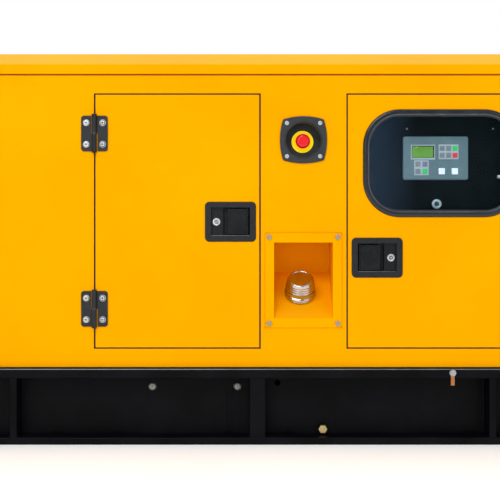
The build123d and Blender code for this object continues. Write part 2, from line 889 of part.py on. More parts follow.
cap_bottom = cap_clearance
cap_inside = neck_above + cap_gasket_height
with BuildPart() as fuel_cap:
    disc(neck_plane, 0, 0, cap_radius, -cap_bottom, -cap_bottom - cap_skirt_height)
    disc(neck_plane, 0, 0, (cap_radius + cap_top_radius) / 2, -cap_bottom, -cap_bottom - cap_shoulder_height)
    disc(neck_plane, 0, 0, cap_top_radius, -cap_bottom, -cap_bottom - cap_height)
    fillet(fuel_cap.edges().filter_by(GeomType.CIRCLE).sort_by(Axis(neck_root, slope_normal))[-1], cap_round)
    disc(neck_plane, 0, 0, neck_radius + cap_bore_fit, -cap_bottom + 1, -cap_inside, Mode.SUBTRACT)
save(fuel_cap.part, "fuel_cap")

# the hose runs on from the neck's lower end, bends down and slides over the tank's stub
hose_start = neck_root - slope_normal * (neck_below - hose_lap)
hose_drop = (stub_y - hose_start.Y) / slope_normal.Y
hose_corner = hose_start + slope_normal * hose_drop
hose_end = Vector(neck_x, stub_y, tank_top + stub_height - hose_lap)
with BuildLine(mode=Mode.PRIVATE) as hose_path:
    FilletPolyline(hose_start, hose_corner, hose_end, radius=hose_bend)
hose_plane = Plane(origin=hose_start, x_dir=(1, 0, 0), z_dir=hose_corner - hose_start)
with BuildPart() as filler_hose:
    with BuildSketch(hose_plane):
        Circle(neck_radius + hose_fit + hose_wall)
        Circle(neck_radius + hose_fit, mode=Mode.SUBTRACT)
    sweep(path=hose_path.line)
save(filler_hose.part, "filler_hose")

# ------------------------------------------------------------------ emergency stop
estop_place = spot(front_face, estop_x, estop_z)
with BuildPart() as estop_plate:
    with BuildSketch(estop_place):
        with BuildLine():
            corner, bulge = estop_corner, estop_bulge
            ThreePointArc((-corner, corner), (0, bulge), (corner, corner))
            ThreePointArc((corner, corner), (bulge, 0), (corner, -corner))
            ThreePointArc((corner, -corner), (0, -bulge), (-corner, -corner))
            ThreePointArc((-corner, -corner), (-bulge, 0), (-corner, corner))
        make_face()
    extrude(amount=estop_plate_thickness)
    fillet(estop_plate.edges().filter_by(Axis.Y), estop_corner_round)
    fillet(estop_plate.faces().sort_by(Axis.Y)[0].edges(), estop_edge_round)
    disc(estop_place, 0, 0, estop_cup_radius + estop_cup_wall, 0, estop_cup_depth)
    disc(estop_place, 0, 0, estop_cup_radius, -2 * estop_plate_thickness, estop_cup_depth - estop_cup_wall, Mode.SUBTRACT)
    disc(estop_place, 0, 0, estop_stem_radius + running_fit, 0, 2 * estop_cup_depth, Mode.SUBTRACT)
    for place in estop_screws:
        disc(place, 0, 0, screw_shank_radius + screw_hole_fit, sheet, -2 * estop_plate_thickness, Mode.SUBTRACT)
with BuildPart() as estop_contacts:
    slab(estop_place, -contacts_width / 2, contacts_width / 2, -contacts_height / 2, contacts_height / 2,
         estop_cup_depth, estop_cup_depth + contacts_depth)
    disc(estop_place, 0, 0, estop_stem_radius + running_fit, estop_cup_depth, estop_cup_depth + contacts_bore, Mode.SUBTRACT)
save_group([estop_plate.part, estop_contacts.part], "estop_plate")
ring_depth = estop_cup_depth - estop_cup_wall - estop_ring_thickness
with BuildPart() as estop_ring:
    disc(estop_place, 0, 0, estop_ring_radius, ring_depth, ring_depth + estop_ring_thickness)
    disc(estop_place, 0, 0, estop_stem_radius + running_fit, 0, estop_cup_depth, Mode.SUBTRACT)
save(estop_ring.part, "estop_ring")
head_depth = ring_depth - estop_travel - estop_end_gap
head_bore_depth = head_depth - estop_head_height + estop_crown
with BuildPart() as estop_stem:
    disc(estop_place, 0, 0, estop_stem_radius, head_depth, estop_cup_depth + contacts_bore - estop_travel - estop_end_gap)
    disc(estop_place, 0, 0, head_stem_radius, head_depth, head_bore_depth + controller_fit)
save(estop_stem.part, "estop_stem")
with BuildPart() as estop_head:
    disc(estop_place, 0, 0, estop_waist_radius, head_depth, head_depth - estop_head_height)
    disc(estop_place, 0, 0, estop_head_radius, head_depth - estop_waist_height, head_depth - estop_head_height)
    fillet(estop_head.faces().sort_by(Axis.Y)[0].edges(), estop_head_round)
    disc(estop_place, 0, 0, head_stem_radius + running_fit, head_depth, head_bore_depth, Mode.SUBTRACT)
save(estop_head.part, "estop_head")

# ------------------------------------------------------------------ hinges and screws
knuckle_half = knuckle_height / 2
all_wall_screws = []
for place in estop_screws:
    all_wall_screws.append(screw(place, estop_plate_thickness, estop_screw_radius, screw_shank_length))
for place in recess_screws:
    all_wall_screws.append(screw(place, sheet))
for door in doors:
    for place in leaf_screws(door, -1):
        all_wall_screws.append(screw(place, leaf_thickness))
save_group(all_wall_screws, "wall_screws")


def hinge_leaf(hinge, side):
    """One leaf with its knuckle: side +1 on the door with the upper knuckle, -1 on the wall with the pin."""
    up = up_sign(hinge)
    v_half = hinge_height / 2
    upper = (up * hinge_gap / 2, up * knuckle_half)
    lower = (-up * knuckle_half, -up * hinge_gap / 2)
    own = upper if side > 0 else lower
    with BuildPart() as leaf:
        slab(hinge, side * leaf_edge, side * hinge_half_width, -v_half, v_half, -leaf_thickness, 0)
        corners = leaf.edges().filter_by(Axis.Y).sort_by(Axis.X)
        fillet(corners[-2:] if side * hinge.x_dir.X > 0 else corners[:2], leaf_corner)
        own_end = min(abs(own[0]), abs(own[1])), v_half
        slab(hinge, 0, side * (leaf_edge + 1), own_end[0] * sign_of(own), own_end[1] * sign_of(own), -leaf_thickness, 0)
        post(hinge, 0, -axis_offset, knuckle_radius, own[0], own[1])
        if side > 0:
            post(hinge, 0, -axis_offset, pin_radius + running_fit, own[0] - up, own[1] + up, Mode.SUBTRACT)
        else:
            post(hinge, 0, -axis_offset, pin_radius, -up * knuckle_half, up * (knuckle_half - pin_end))
        for v in (-hinge_screw_z, hinge_screw_z):
            disc(hinge, side * hinge_screw_x, v, screw_shank_radius + screw_hole_fit, 1, -2 * leaf_thickness, Mode.SUBTRACT)
    return leaf.part


def sign_of(span):
    """+1 for a span above the hinge's middle, -1 for one below it."""
    return 1 if span[0] + span[1] > 0 else -1


save_group([hinge_leaf(hinge, -1) for door in doors for hinge in hinges_of(door)], "hinge_wall_leaves")
for door in doors:
    leaves = [hinge_leaf(hinge, 1) for hinge in hinges_of(door)]
    screws = [screw(place, leaf_thickness) for place in leaf_screws(door, 1)]
    save_group(leaves + screws, f"{door}_leaves")

# ------------------------------------------------------------------ doors
window_place = spot(front_face, window_x, window_z)
pane_depth = (sheet - pane_thickness) / 2  # the pane lies in the plane of the door's skin


def rounded_plate(place, width, height, radius, near, far, mode=Mode.ADD):
    """A plate with round corners on a face, in the part being built."""
    with BuildSketch(place.offset(-far)) as outline:
        RectangleRounded(width, height, radius)
    extrude(outline.sketch, amount=far - near, mode=mode)


seal_inner_w = window_width - 2 * seal_band
seal_inner_h = window_height - 2 * seal_band
for door, (face, _, _, middle, width) in doors.items():
    place = spot(face, middle, opening_z)
    u = width / 2 - door_gap
    v = opening_height / 2 - door_gap
    with BuildPart() as leaf:
        slab(place, -u, u, -v, v, 0, door_depth)
        fillet(leaf.edges().filter_by(Axis.Z), sheet + 1)
        slab(place, -u + sheet, u - sheet, -v + sheet, v - sheet, sheet, door_depth - sheet, Mode.SUBTRACT)
        slab(place, -u + door_fold, u - door_fold, -v + door_fold, v - door_fold, sheet, 2 * door_depth, Mode.SUBTRACT)
        latch = latches[door]
        half_w, half_h = cup_width / 2 + cup_fit, cup_height / 2 + cup_fit
        slab(latch, -half_w, half_w, -half_h, half_h, -1, 2 * sheet, Mode.SUBTRACT)
        drill(leaf_screws(door, 1), screw_shank_radius + screw_hole_fit)
        if door == "front_right":
            slot = window_width - 2 * seal_groove, window_height - 2 * seal_groove, window_corner - seal_groove
            rounded_plate(window_place, *slot, -1, 2 * sheet, Mode.SUBTRACT)
    save(leaf.part, f"{door}_door")

with BuildPart() as window_seal:
    rounded_plate(window_place, window_width, window_height, window_corner, -seal_proud, sheet + seal_proud)
    fillet(window_seal.faces().filter_by(Axis.Y).edges(), 0.7 * seal_proud)
    rounded_plate(window_place, seal_inner_w, seal_inner_h, window_corner - seal_band, -2 * seal_proud,
                  4 * seal_proud, Mode.SUBTRACT)
    with BuildSketch(window_place.offset(-sheet)):
        RectangleRounded(window_width + 1, window_height + 1, window_corner)
        RectangleRounded(window_width - 2 * seal_groove, window_height - 2 * seal_groove, window_corner - seal_groove,
                         mode=Mode.SUBTRACT)
    extrude(amount=sheet, mode=Mode.SUBTRACT)
    rounded_plate(window_place, seal_inner_w + 2 * seal_groove, seal_inner_h + 2 * seal_groove,
                  window_corner - seal_band + seal_groove, pane_depth, pane_depth + pane_thickness, Mode.SUBTRACT)
save(window_seal.part, "window_seal")
with BuildPart() as window_pane:
    rounded_plate(window_place, seal_inner_w + 2 * seal_groove, seal_inner_h + 2 * seal_groove,
                  window_corner - seal_band + seal_groove, pane_depth, pane_depth + pane_thickness)
save(window_pane.part, "window_pane")

# ------------------------------------------------------------------ latches
for door, latch in latches.items():
    with BuildPart() as cup:
        rounded_plate(latch, bezel_width, bezel_height, bezel_corner, -bezel_proud, 0)
        fillet(cup.faces().sort_by(Axis(latch.origin, latch.z_dir))[-1].edges(), 0.6 * bezel_proud)
        slab(latch, -cup_width / 2, cup_width / 2, -cup_height / 2, cup_height / 2, 0, cup_depth)
        slab(latch, shelf_edge, pocket_half_width, -pocket_half_height, pocket_half_height,
             -2 * bezel_proud, cup_depth - bezel_proud, Mode.SUBTRACT)
        slab(latch, -pocket_half_width, shelf_edge + 1, -pocket_half_height, pocket_half_height,
             -2 * bezel_proud, shelf_depth, Mode.SUBTRACT)
        slab(latch, -pocket_half_width, shelf_edge - bezel_proud, -pocket_half_height, pocket_half_height,
             shelf_depth + bezel_proud, cup_depth + 1, Mode.SUBTRACT)
        disc(latch, lock_x, 0, lock_radius + running_fit, -1, 2 * shelf_depth, Mode.SUBTRACT)
        post(latch, paddle_pivot_x, paddle_pivot_depth, trunnion_radius + running_fit,
             -cup_height, cup_height, Mode.SUBTRACT)
    save(cup.part, f"{door}_cup")

    with BuildPart() as lock:
        disc(latch, lock_x, 0, lock_radius, shelf_depth - lock_proud, cup_depth + cam_gap + 2 * cam_plate)
        slab(latch, lock_x - cam_width / 2, lock_x + cam_width / 2, -cam_length, cam_width / 2,
             cup_depth + cam_gap, cup_depth + cam_gap + cam_plate)
        slab(latch, lock_x - key_slot / 2, lock_x + key_slot / 2, -lock_radius / 2, lock_radius / 2,
             0, shelf_depth - lock_proud + 1, Mode.SUBTRACT)
    save(lock.part, f"{door}_lock")

    # the paddle turns on a pin that runs out through both cup walls and carries the latch's yoke behind
    arm_inner = cup_height / 2 + arm_gap
    arm_outer = arm_inner + arm_plate
    with BuildPart() as paddle:
        slab(latch, paddle_left, paddle_pivot_x - 1, -paddle_half_height, paddle_half_height,
             paddle_front, paddle_front + paddle_thickness)
        fillet(paddle.faces().sort_by(Axis(latch.origin, latch.z_dir))[-1].edges(), paddle_round)
        slab(latch, paddle_left, paddle_left + lip_thickness, -paddle_half_height, paddle_half_height,
             paddle_front + paddle_thickness / 2, paddle_front + paddle_thickness + paddle_lip)
        post(latch, paddle_pivot_x, paddle_pivot_depth, paddle_barrel_radius, -paddle_half_height, paddle_half_height)
        post(latch, paddle_pivot_x, paddle_pivot_depth, trunnion_radius, -arm_outer, arm_outer)
        for side in (-1, 1):
            post(latch, paddle_pivot_x, paddle_pivot_depth, paddle_barrel_radius, side * arm_inner, side * arm_outer)
            slab(latch, paddle_pivot_x - paddle_barrel_radius, paddle_pivot_x + paddle_barrel_radius,
                 side * arm_inner, side * arm_outer, paddle_pivot_depth, yoke_depth)
        slab(latch, paddle_pivot_x - paddle_barrel_radius, paddle_pivot_x + yoke_reach, -arm_outer, arm_outer,
             yoke_depth, yoke_depth + yoke_plate)
    save(paddle.part, f"{door}_paddle")

# ------------------------------------------------------------------ control cabinet
panel = Plane(origin=(0, panel_y, 0), x_dir=(1, 0, 0), z_dir=(0, -1, 0))
cab_left = right_door_x - cabinet_width / 2
cab_right = right_door_x + cabinet_width / 2
controller_place = shift(panel, controller_x, controller_z)
lock_place = shift(panel, panel_lock_x, panel_lock_z)
breaker_place = shift(panel, right_door_x, breaker_z)
back_half_w = controller_back_width / 2
back_half_h = controller_back_height / 2
with BuildPart() as control_cabinet:
    slab(panel, cab_left, cab_right, cabinet_bottom, cabinet_top, 0, cabinet_depth)
    slab(panel, cab_left + sheet, cab_right - sheet, cabinet_bottom + sheet, cabinet_top - sheet,
         sheet, cabinet_depth - sheet, Mode.SUBTRACT)
    slab(controller_place, -back_half_w - controller_fit, back_half_w + controller_fit,
         -back_half_h - controller_fit, back_half_h + controller_fit, -1, 2 * sheet, Mode.SUBTRACT)
    disc(lock_place, 0, 0, panel_lock_radius + running_fit, -1, 2 * sheet, Mode.SUBTRACT)
    slab(breaker_place, -breaker_width / 2 - controller_fit, breaker_width / 2 + controller_fit,
         -breaker_height / 2 - controller_fit, breaker_height / 2 + controller_fit, -1, 2 * sheet, Mode.SUBTRACT)
legs = []
for x in post_x:
    legs.append(frame_tube(x - post_width / 2, x + post_width / 2, panel_y, panel_y + post_width,
                           deck_top, cabinet_bottom, "Z"))
save_group([control_cabinet.part, *legs], "control_cabinet")

with BuildPart() as controller:
    slab(controller_place, -controller_width / 2, controller_width / 2, -controller_height / 2, controller_height / 2,
         -controller_proud, 0)
    fillet(controller.edges().filter_by(Axis.Y), controller_corner)
    fillet(controller.faces().sort_by(Axis.Y)[0].edges(), edge_round)
    slab(controller_place, -back_half_w, back_half_w, -back_half_h, back_half_h, 0, controller_back_depth)
save(controller.part, "controller")

# membrane keys: three by two beside the display, two by two under it, one pair of square ones
keys = []
for u, v in key_places:
    with BuildPart() as key:
        slab(controller_place, u - key_size / 2, u + key_size / 2, v - key_size / 2, v + key_size / 2,
             -controller_proud - key_height, -controller_proud)
        fillet(key.edges().filter_by(Axis.Y), edge_round)
    keys.append(key.part)
save_group(keys, "controller_keypad")

with BuildPart() as panel_lock:
    disc(lock_place, 0, 0, panel_lock_ring, 0, -panel_lock_proud)
    fillet(panel_lock.faces().sort_by(Axis.Y)[0].edges(), panel_lock_round)
    disc(lock_place, 0, 0, panel_lock_radius, 0, panel_lock_depth)
    slab(lock_place, -cam_width / 2, cam_width / 2, -cam_length, cam_width / 2,
         panel_lock_depth - 2 * cam_plate, panel_lock_depth - cam_plate)
    slab(lock_place, -key_slot / 2, key_slot / 2, -panel_lock_radius / 2, panel_lock_radius / 2,
         -panel_lock_proud + 1, -panel_lock_proud - 1, Mode.SUBTRACT)
save(panel_lock.part, "panel_lock")

with BuildPart() as breaker:
    slab(breaker_place, -breaker_width / 2, breaker_width / 2, -breaker_height / 2, breaker_height / 2,
         -breaker_proud, breaker_behind)
    fillet(breaker.faces().sort_by(Axis.Y)[0].edges(), edge_round)
    slab(breaker_place, -toggle_width / 2 - 1, toggle_width / 2 + 1, -toggle_slot / 2, toggle_slot / 2,
         -2 * breaker_proud, toggle_depth + toggle_room, Mode.SUBTRACT)
    with Locations(breaker_place.location * Location((0, 0, -toggle_depth), (0, 90, 0))):
        Cylinder(toggle_pin_radius + running_fit, toggle_pin_length + toggle_fit, mode=Mode.SUBTRACT)
save(breaker.part, "breaker")
with BuildPart() as breaker_toggle:
    slab(breaker_place, -toggle_width / 2, toggle_width / 2, -toggle_thickness / 2, toggle_thickness / 2,
         toggle_depth, -breaker_proud - toggle_proud)
    fillet(breaker_toggle.faces().sort_by(Axis.Y)[0].edges(), toggle_round)
    with Locations(breaker_place.location * Location((0, 0, -toggle_depth), (0, 90, 0))):
        Cylinder(toggle_hub_radius, toggle_width)
        Cylinder(toggle_pin_radius, toggle_pin_length)
save(breaker_toggle.part, "breaker_toggle")

# ------------------------------------------------------------------ engine
cover_front = engine_front - timing_thickness
with BuildPart() as engine_block:
    block(engine_front, engine_back, -block_half_width, block_half_width, block_bottom, block_top)
    fillet(engine_block.edges().filter_by(Axis.X), casting_round)
    block(cover_front, engine_front, -timing_half_width, timing_half_width, block_bottom, block_top)
    wall = casting_wall
    block(engine_front + wall, engine_back - wall, -block_half_width + wall, block_half_width - wall,
          block_bottom + wall, block_top - wall, Mode.SUBTRACT)
    bar_x(cover_front - 1, engine_back + 1, 0, crank_z, shaft_radius + shaft_fit, Mode.SUBTRACT)
    bar_x(cover_front - 1, engine_front + wall + 1, 0, fan_z, fan_shaft_radius + running_fit, Mode.SUBTRACT)
feet = []
for side in (-1, 1):
    foot_x0, foot_x1 = front_mount_x - mount_radius, front_mount_x + mount_radius
    y0, y1 = sorted((side * block_half_width, side * (foot_y + mount_radius)))
    y2, y3 = sorted((side * block_half_width, side * (block_half_width + foot_thickness)))
    with BuildPart() as foot:
        block(foot_x0, foot_x1, y0, y1, mount_top, mount_top + foot_thickness)
        block(foot_x0, foot_x1, y2, y3, mount_top, block_bottom + foot_lap)
    feet.append(foot.part)
save_group([engine_block.part, *feet], "engine_block")

with BuildPart() as cylinder_head:
    block(engine_front + head_inset, engine_back - head_inset, -head_half_width, head_half_width,
          block_top, block_top + head_height)
    block(engine_front + 2 * head_inset, engine_back - 2 * head_inset, -cover_half_width, cover_half_width,
          block_top + head_height, block_top + head_height + cover_height)
    fillet(cylinder_head.faces().sort_by(Axis.Z)[-1].edges(), cover_round)
    block(engine_front + head_inset + wall, engine_back - head_inset - wall, -cover_half_width + wall, cover_half_width - wall,
          block_top + wall, block_top + head_height + cover_height - wall, Mode.SUBTRACT)
save(cylinder_head.part, "cylinder_head")

head_mid = block_top + head_height / 2
manifold_front = engine_front + manifold_inset
manifold_back = engine_back - manifold_inset
with BuildPart() as oil_pan:
    block(manifold_front, engine_back - pan_back_inset, -pan_half_width, pan_half_width, pan_bottom, block_bottom)
    fillet(oil_pan.faces().sort_by(Axis.Z)[0].edges(), pan_round)
    block(manifold_front + pan_wall, engine_back - pan_back_inset - pan_wall, -pan_half_width + pan_wall,
          pan_half_width - pan_wall, pan_bottom + pan_wall, block_bottom + 1, Mode.SUBTRACT)
with BuildPart() as exhaust_manifold:
    block(manifold_front, manifold_back, head_half_width, head_half_width + manifold_width,
          head_mid - manifold_half, head_mid + manifold_half)
    fillet(exhaust_manifold.edges().filter_by(Axis.X), manifold_round)
with BuildPart() as intake_manifold:
    block(manifold_front, manifold_back, -head_half_width - manifold_width, -head_half_width,
          head_mid - manifold_half, head_mid + manifold_half)
    fillet(intake_manifold.edges().filter_by(Axis.X), manifold_round)
with BuildPart() as air_cleaner:
    bar_x(cleaner_x - cleaner_length / 2, cleaner_x + cleaner_length / 2, cleaner_y, cleaner_z, cleaner_radius)
    fillet(air_cleaner.edges().filter_by(GeomType.CIRCLE), can_round)
    block(cleaner_x - duct_width / 2, cleaner_x + duct_width / 2, cleaner_y, -head_half_width - manifold_width,
          cleaner_z - cleaner_radius, head_mid + duct_rise)
    bar_x(cleaner_x - cleaner_length / 2 + cleaner_wall, cleaner_x + cleaner_length / 2 - cleaner_wall,
          cleaner_y, cleaner_z, cleaner_radius - cleaner_wall, Mode.SUBTRACT)
with BuildPart() as starter:
    bar_x(engine_back - starter_length, engine_back, starter_y, starter_z, starter_radius)
    fillet(starter.edges().filter_by(GeomType.CIRCLE), can_round)
    block(engine_back - 2 * starter_bracket, engine_back - starter_bracket, block_half_width, starter_y,
          starter_z - starter_bracket, starter_z + starter_bracket)
filters = []
filter_y = -block_half_width - filter_radius - filter_gap
for x in filter_x:
    with BuildPart() as oil_filter:
        with Locations((x, filter_y, filter_z)):
            Cylinder(filter_radius, filter_height)
        fillet(oil_filter.edges().filter_by(GeomType.CIRCLE), can_round)
        block(x - filter_radius / 2, x + filter_radius / 2, filter_y, -block_half_width,
              filter_z + filter_radius / 2, filter_z + filter_height / 2 - can_round)
    filters.append(oil_filter.part)
save_group([oil_pan.part, exhaust_manifold.part, intake_manifold.part, air_cleaner.part, starter.part, *filters],
           "engine_ancillaries")

# ------------------------------------------------------------------ belt drive and fan
belt_front = belt_x - belt_width / 2
pulley_low = belt_front - belt_side_gap - rim_width
pulley_high = belt_x + belt_width / 2 + belt_side_gap + rim_width
pulleys = {
    "crank": (0, crank_z, crank_pulley_radius),
    "fan": (0, fan_z, fan_pulley_radius),
    "charger": (charger_y, charger_z, charger_pulley_radius),
}


def pulley_solid(name):
    """A grooved pulley: a plain drum between two rims, in the part being built."""
    y, z, radius = pulleys[name]
    bar_x(pulley_low, pulley_high, y, z, radius)
    bar_x(pulley_low, pulley_low + rim_width, y, z, radius + rim_height)
    bar_x(pulley_high - rim_width, pulley_high, y, z, radius + rim_height)


with BuildPart() as crank_pulley:
    pulley_solid("crank")
    bar_x(pulley_low, pulley_low + pulley_dish, 0, crank_z, crank_pulley_radius - pulley_web, Mode.SUBTRACT)
    bar_x(pulley_low - 1, pulley_high + 1, 0, crank_z, shaft_radius, Mode.SUBTRACT)
save(crank_pulley.part, "crank_pulley")

stator_back = generator_back - end_bracket
with BuildPart() as generator_rotor:
    bar_x(pulley_low, generator_back - shaft_end_gap, 0, crank_z, shaft_radius)
    bar_x(engine_back + flywheel_gap, engine_back + flywheel_gap + flywheel_width, 0, crank_z, flywheel_radius)
    bar_x(generator_front + rotor_margin, stator_back - rotor_margin, 0, crank_z, rotor_radius)
save(generator_rotor.part, "generator_rotor")

belt_plane = Plane(origin=(belt_front, 0, 0), x_dir=(0, 1, 0), z_dir=(1, 0, 0))
with BuildPart() as drive_belt:
    for grow, mode in ((belt_gap + belt_thickness, Mode.ADD), (belt_gap, Mode.SUBTRACT)):
        with BuildSketch(belt_plane) as loop:
            for y, z, radius in pulleys.values():
                with Locations((y, z)):
                    Circle(radius + grow)
            make_hull(loop.edges())
        extrude(amount=belt_width, mode=mode)
save(drive_belt.part, "drive_belt")

with BuildPart() as cooling_fan:
    bar_x(fan_front, fan_back, 0, fan_z, fan_hub_radius)
    for index in range(fan_blades):
        turn = index * 360 / fan_blades
        with Locations(Location(((fan_front + fan_back) / 2, 0, fan_z), (turn, 0, 0))
                       * Location((0, 0, (fan_hub_radius + fan_radius) / 2 - blade_root), (0, 0, fan_pitch))):
            Box(blade_thickness, blade_chord, fan_radius - fan_hub_radius + 2 * blade_root)
    bar_x(fan_front - blade_chord, fan_back + blade_chord, 0, fan_z, fan_radius, Mode.INTERSECT)
    bar_x(fan_back - 1, pulley_low, 0, fan_z, fan_spacer_radius)
    pulley_solid("fan")
    bar_x(pulley_high - 1, engine_front + casting_wall, 0, fan_z, fan_shaft_radius)
save(cooling_fan.part, "cooling_fan")

charger_front = pulley_high + charger_gap
with BuildPart() as charging_alternator:
    bar_x(charger_front, charger_front + charger_length, charger_y, charger_z, charger_radius)
    fillet(charging_alternator.edges().filter_by(GeomType.CIRCLE), can_round)
    block(charger_front + charger_bracket, charger_front + 2 * charger_bracket, charger_y, -block_half_width,
          charger_z - charger_bracket / 2, charger_z + charger_bracket / 2)
    bar_x(charger_front - 1, charger_front + charger_bore, charger_y, charger_z, charger_shaft + running_fit, Mode.SUBTRACT)
save(charging_alternator.part, "charging_alternator")
with BuildPart() as charging_pulley:
    pulley_solid("charger")
    bar_x(pulley_high - 1, charger_front + charger_bore - 2 * charger_gap, charger_y, charger_z, charger_shaft)
save(charging_pulley.part, "charging_pulley")

# ------------------------------------------------------------------ radiator
core_front = radiator_x - radiator_thickness / 2
core_back = radiator_x + radiator_thickness / 2
with BuildPart() as radiator:
    block(core_front, core_back, -radiator_half_width, radiator_half_width, radiator_bottom, radiator_top)
    for x0, x1 in ((core_front, core_front + core_recess), (core_back - core_recess, core_back)):
        block(x0 - 1, x1 + 1, -radiator_half_width + core_frame, radiator_half_width - core_frame,
              radiator_bottom + radiator_tank, radiator_top - radiator_tank, Mode.SUBTRACT)
    for side in (-1, 1):
        y0, y1 = sorted((side * (radiator_leg_y - core_frame), side * (radiator_leg_y + core_frame)))
        block(radiator_x - core_frame, radiator_x + core_frame, y0, y1, deck_top, radiator_bottom)
with BuildPart() as shroud:
    plate_x = fan_front - shroud_gap
    block(core_back, plate_x + shroud_wall, -radiator_half_width, radiator_half_width,
          radiator_bottom + shroud_inset, radiator_top - shroud_inset)
    block(core_back, plate_x, -radiator_half_width + shroud_wall, radiator_half_width - shroud_wall,
          radiator_bottom + shroud_inset + shroud_wall, radiator_top - shroud_inset - shroud_wall, Mode.SUBTRACT)
    bar_x(plate_x, fan_back + shroud_gap, 0, fan_z, fan_radius + shroud_clearance + shroud_wall)
    bar_x(plate_x - 1, fan_back + shroud_gap + 1, 0, fan_z, fan_radius + shroud_clearance, Mode.SUBTRACT)
save_group([radiator.part, shroud.part], "radiator")

# ------------------------------------------------------------------ generator
terminal_front = generator_front + terminal_inset
with BuildPart() as generator_housing:
    bar_x(engine_back, generator_front, 0, crank_z, housing_radius)
    bar_x(generator_front, generator_back, 0, crank_z, generator_radius)
    block(terminal_front, terminal_front + terminal_length, -terminal_half_width, terminal_half_width,
          crank_z, crank_z + generator_radius + terminal_height)
    block(terminal_front + terminal_wall, terminal_front + terminal_length - terminal_wall,
          -terminal_half_width + terminal_wall, terminal_half_width - terminal_wall,
          crank_z, crank_z + generator_radius + terminal_height - terminal_wall, Mode.SUBTRACT)
    bar_x(generator_front + adaptor_lap, generator_back, 0, crank_z, generator_radius)
    bar_x(engine_back + adaptor_wall, generator_front + adaptor_lap, 0, crank_z, housing_radius - casting_wall, Mode.SUBTRACT)
    bar_x(generator_front - 1, stator_back, 0, crank_z, stator_radius, Mode.SUBTRACT)
    bar_x(engine_back - 1, generator_back + 1, 0, crank_z, shaft_radius + shaft_fit, Mode.SUBTRACT)
with BuildPart() as generator_foot:
    foot_x0, foot_x1 = rear_mount_x - mount_radius, rear_mount_x + mount_radius
    block(foot_x0, foot_x1, -foot_y - mount_radius, foot_y + mount_radius, mount_top, mount_top + foot_thickness)
    for side in (-1, 1):
        y0, y1 = sorted((side * saddle_y, side * (saddle_y + 2 * foot_thickness)))
        block(foot_x0, foot_x1, y0, y1, mount_top, crank_z)
    bar_x(foot_x0 - 1, foot_x1 + 1, 0, crank_z, generator_radius, Mode.SUBTRACT)
save_group([generator_housing.part, generator_foot.part], "generator_housing")

mounts = []
for x in (front_mount_x, rear_mount_x):
    for side in (-1, 1):
        with BuildPart() as mount:
            with Locations((x, side * foot_y, deck_top + mount_height / 2)):
                Cylinder(mount_radius, mount_height)
            fillet(mount.edges().filter_by(GeomType.CIRCLE), mount_round)
        mounts.append(mount.part)
save_group(mounts, "vibration_mounts")

# ------------------------------------------------------------------ exhaust
inlet_pipe_y = head_half_width + manifold_width / 2
pipe_top = roof_bottom - pipe_below_roof
manifold_x = engine_front + riser_inset
with BuildLine(mode=Mode.PRIVATE) as inlet_path:
    FilletPolyline((manifold_x, inlet_pipe_y, head_mid + manifold_half), (manifold_x, inlet_pipe_y, pipe_top),
                   (muffler_x, inlet_pipe_y, pipe_top), (muffler_x, inlet_pipe_y, muffler_z), radius=pipe_bend)
outlet_top = roof_top + outlet_above_roof
flap_axis_z = outlet_top + flap_pivot_rise
with BuildPart() as muffler:
    with Locations(Location((muffler_x, 0, muffler_z), (90, 0, 0))):
        Cylinder(muffler_radius, 2 * muffler_half_length)
    fillet(muffler.edges().filter_by(GeomType.CIRCLE), muffler_round)
    with Locations(Location((muffler_x, 0, muffler_z), (90, 0, 0))):
        Cylinder(muffler_radius - pipe_wall, 2 * (muffler_half_length - pipe_wall), mode=Mode.SUBTRACT)
    with Locations((muffler_x, outlet_y, muffler_z + muffler_radius)):
        Cylinder(outlet_radius, muffler_radius, mode=Mode.SUBTRACT)
with BuildPart() as outlet_pipe:
    with Locations((muffler_x, outlet_y, (muffler_z + outlet_top) / 2)):
        Cylinder(outlet_radius, outlet_top - muffler_z)
    with Locations((muffler_x, outlet_y, (muffler_z + outlet_top) / 2)):
        Cylinder(outlet_radius - pipe_wall, outlet_top - muffler_z + 2, mode=Mode.SUBTRACT)
    for side in (-1, 1):
        ear_y = outlet_y + side * (flap_pin_length / 2 + ear_plate / 2)
        ear = ear_y - ear_plate / 2, ear_y + ear_plate / 2
        block(muffler_x + ear_root * outlet_radius, muffler_x + flap_pivot + ear_margin, *ear, outlet_top - ear_drop, outlet_top)
        block(muffler_x + flap_radius + 2, muffler_x + flap_pivot + ear_margin, *ear, outlet_top - 1, outlet_top + ear_rise)
    with Locations(Location((muffler_x + flap_pivot, outlet_y, flap_axis_z), (90, 0, 0))):
        Cylinder(flap_pin_radius + running_fit, flap_pin_length + 4 * ear_plate, mode=Mode.SUBTRACT)
with BuildPart() as inlet_pipe:
    with BuildSketch(Plane(origin=(manifold_x, inlet_pipe_y, head_mid + manifold_half), x_dir=(1, 0, 0), z_dir=(0, 0, 1))):
        Circle(pipe_radius)
        Circle(pipe_radius - pipe_wall, mode=Mode.SUBTRACT)
    sweep(path=inlet_path.line)
    with Locations(Location((muffler_x, 0, muffler_z), (90, 0, 0))):
        Cylinder(muffler_radius, 2 * muffler_half_length, mode=Mode.SUBTRACT)
save_group([muffler.part, outlet_pipe.part, inlet_pipe.part], "muffler")
with BuildPart() as rain_flap:
    with Locations((muffler_x, outlet_y, outlet_top + flap_gap + flap_thickness / 2)):
        Cylinder(flap_radius, flap_thickness)
    block(muffler_x, muffler_x + flap_pivot, outlet_y - flap_pin_length / 2 + 1, outlet_y + flap_pin_length / 2 - 1,
          outlet_top + flap_gap, outlet_top + flap_gap + flap_thickness)
    with Locations(Location((muffler_x + flap_pivot, outlet_y, flap_axis_z), (90, 0, 0))):
        Cylinder(flap_hub_radius, flap_pin_length - 2)
        Cylinder(flap_pin_radius, flap_pin_length + 2 * ear_plate)
save(rain_flap.part, "rain_flap")

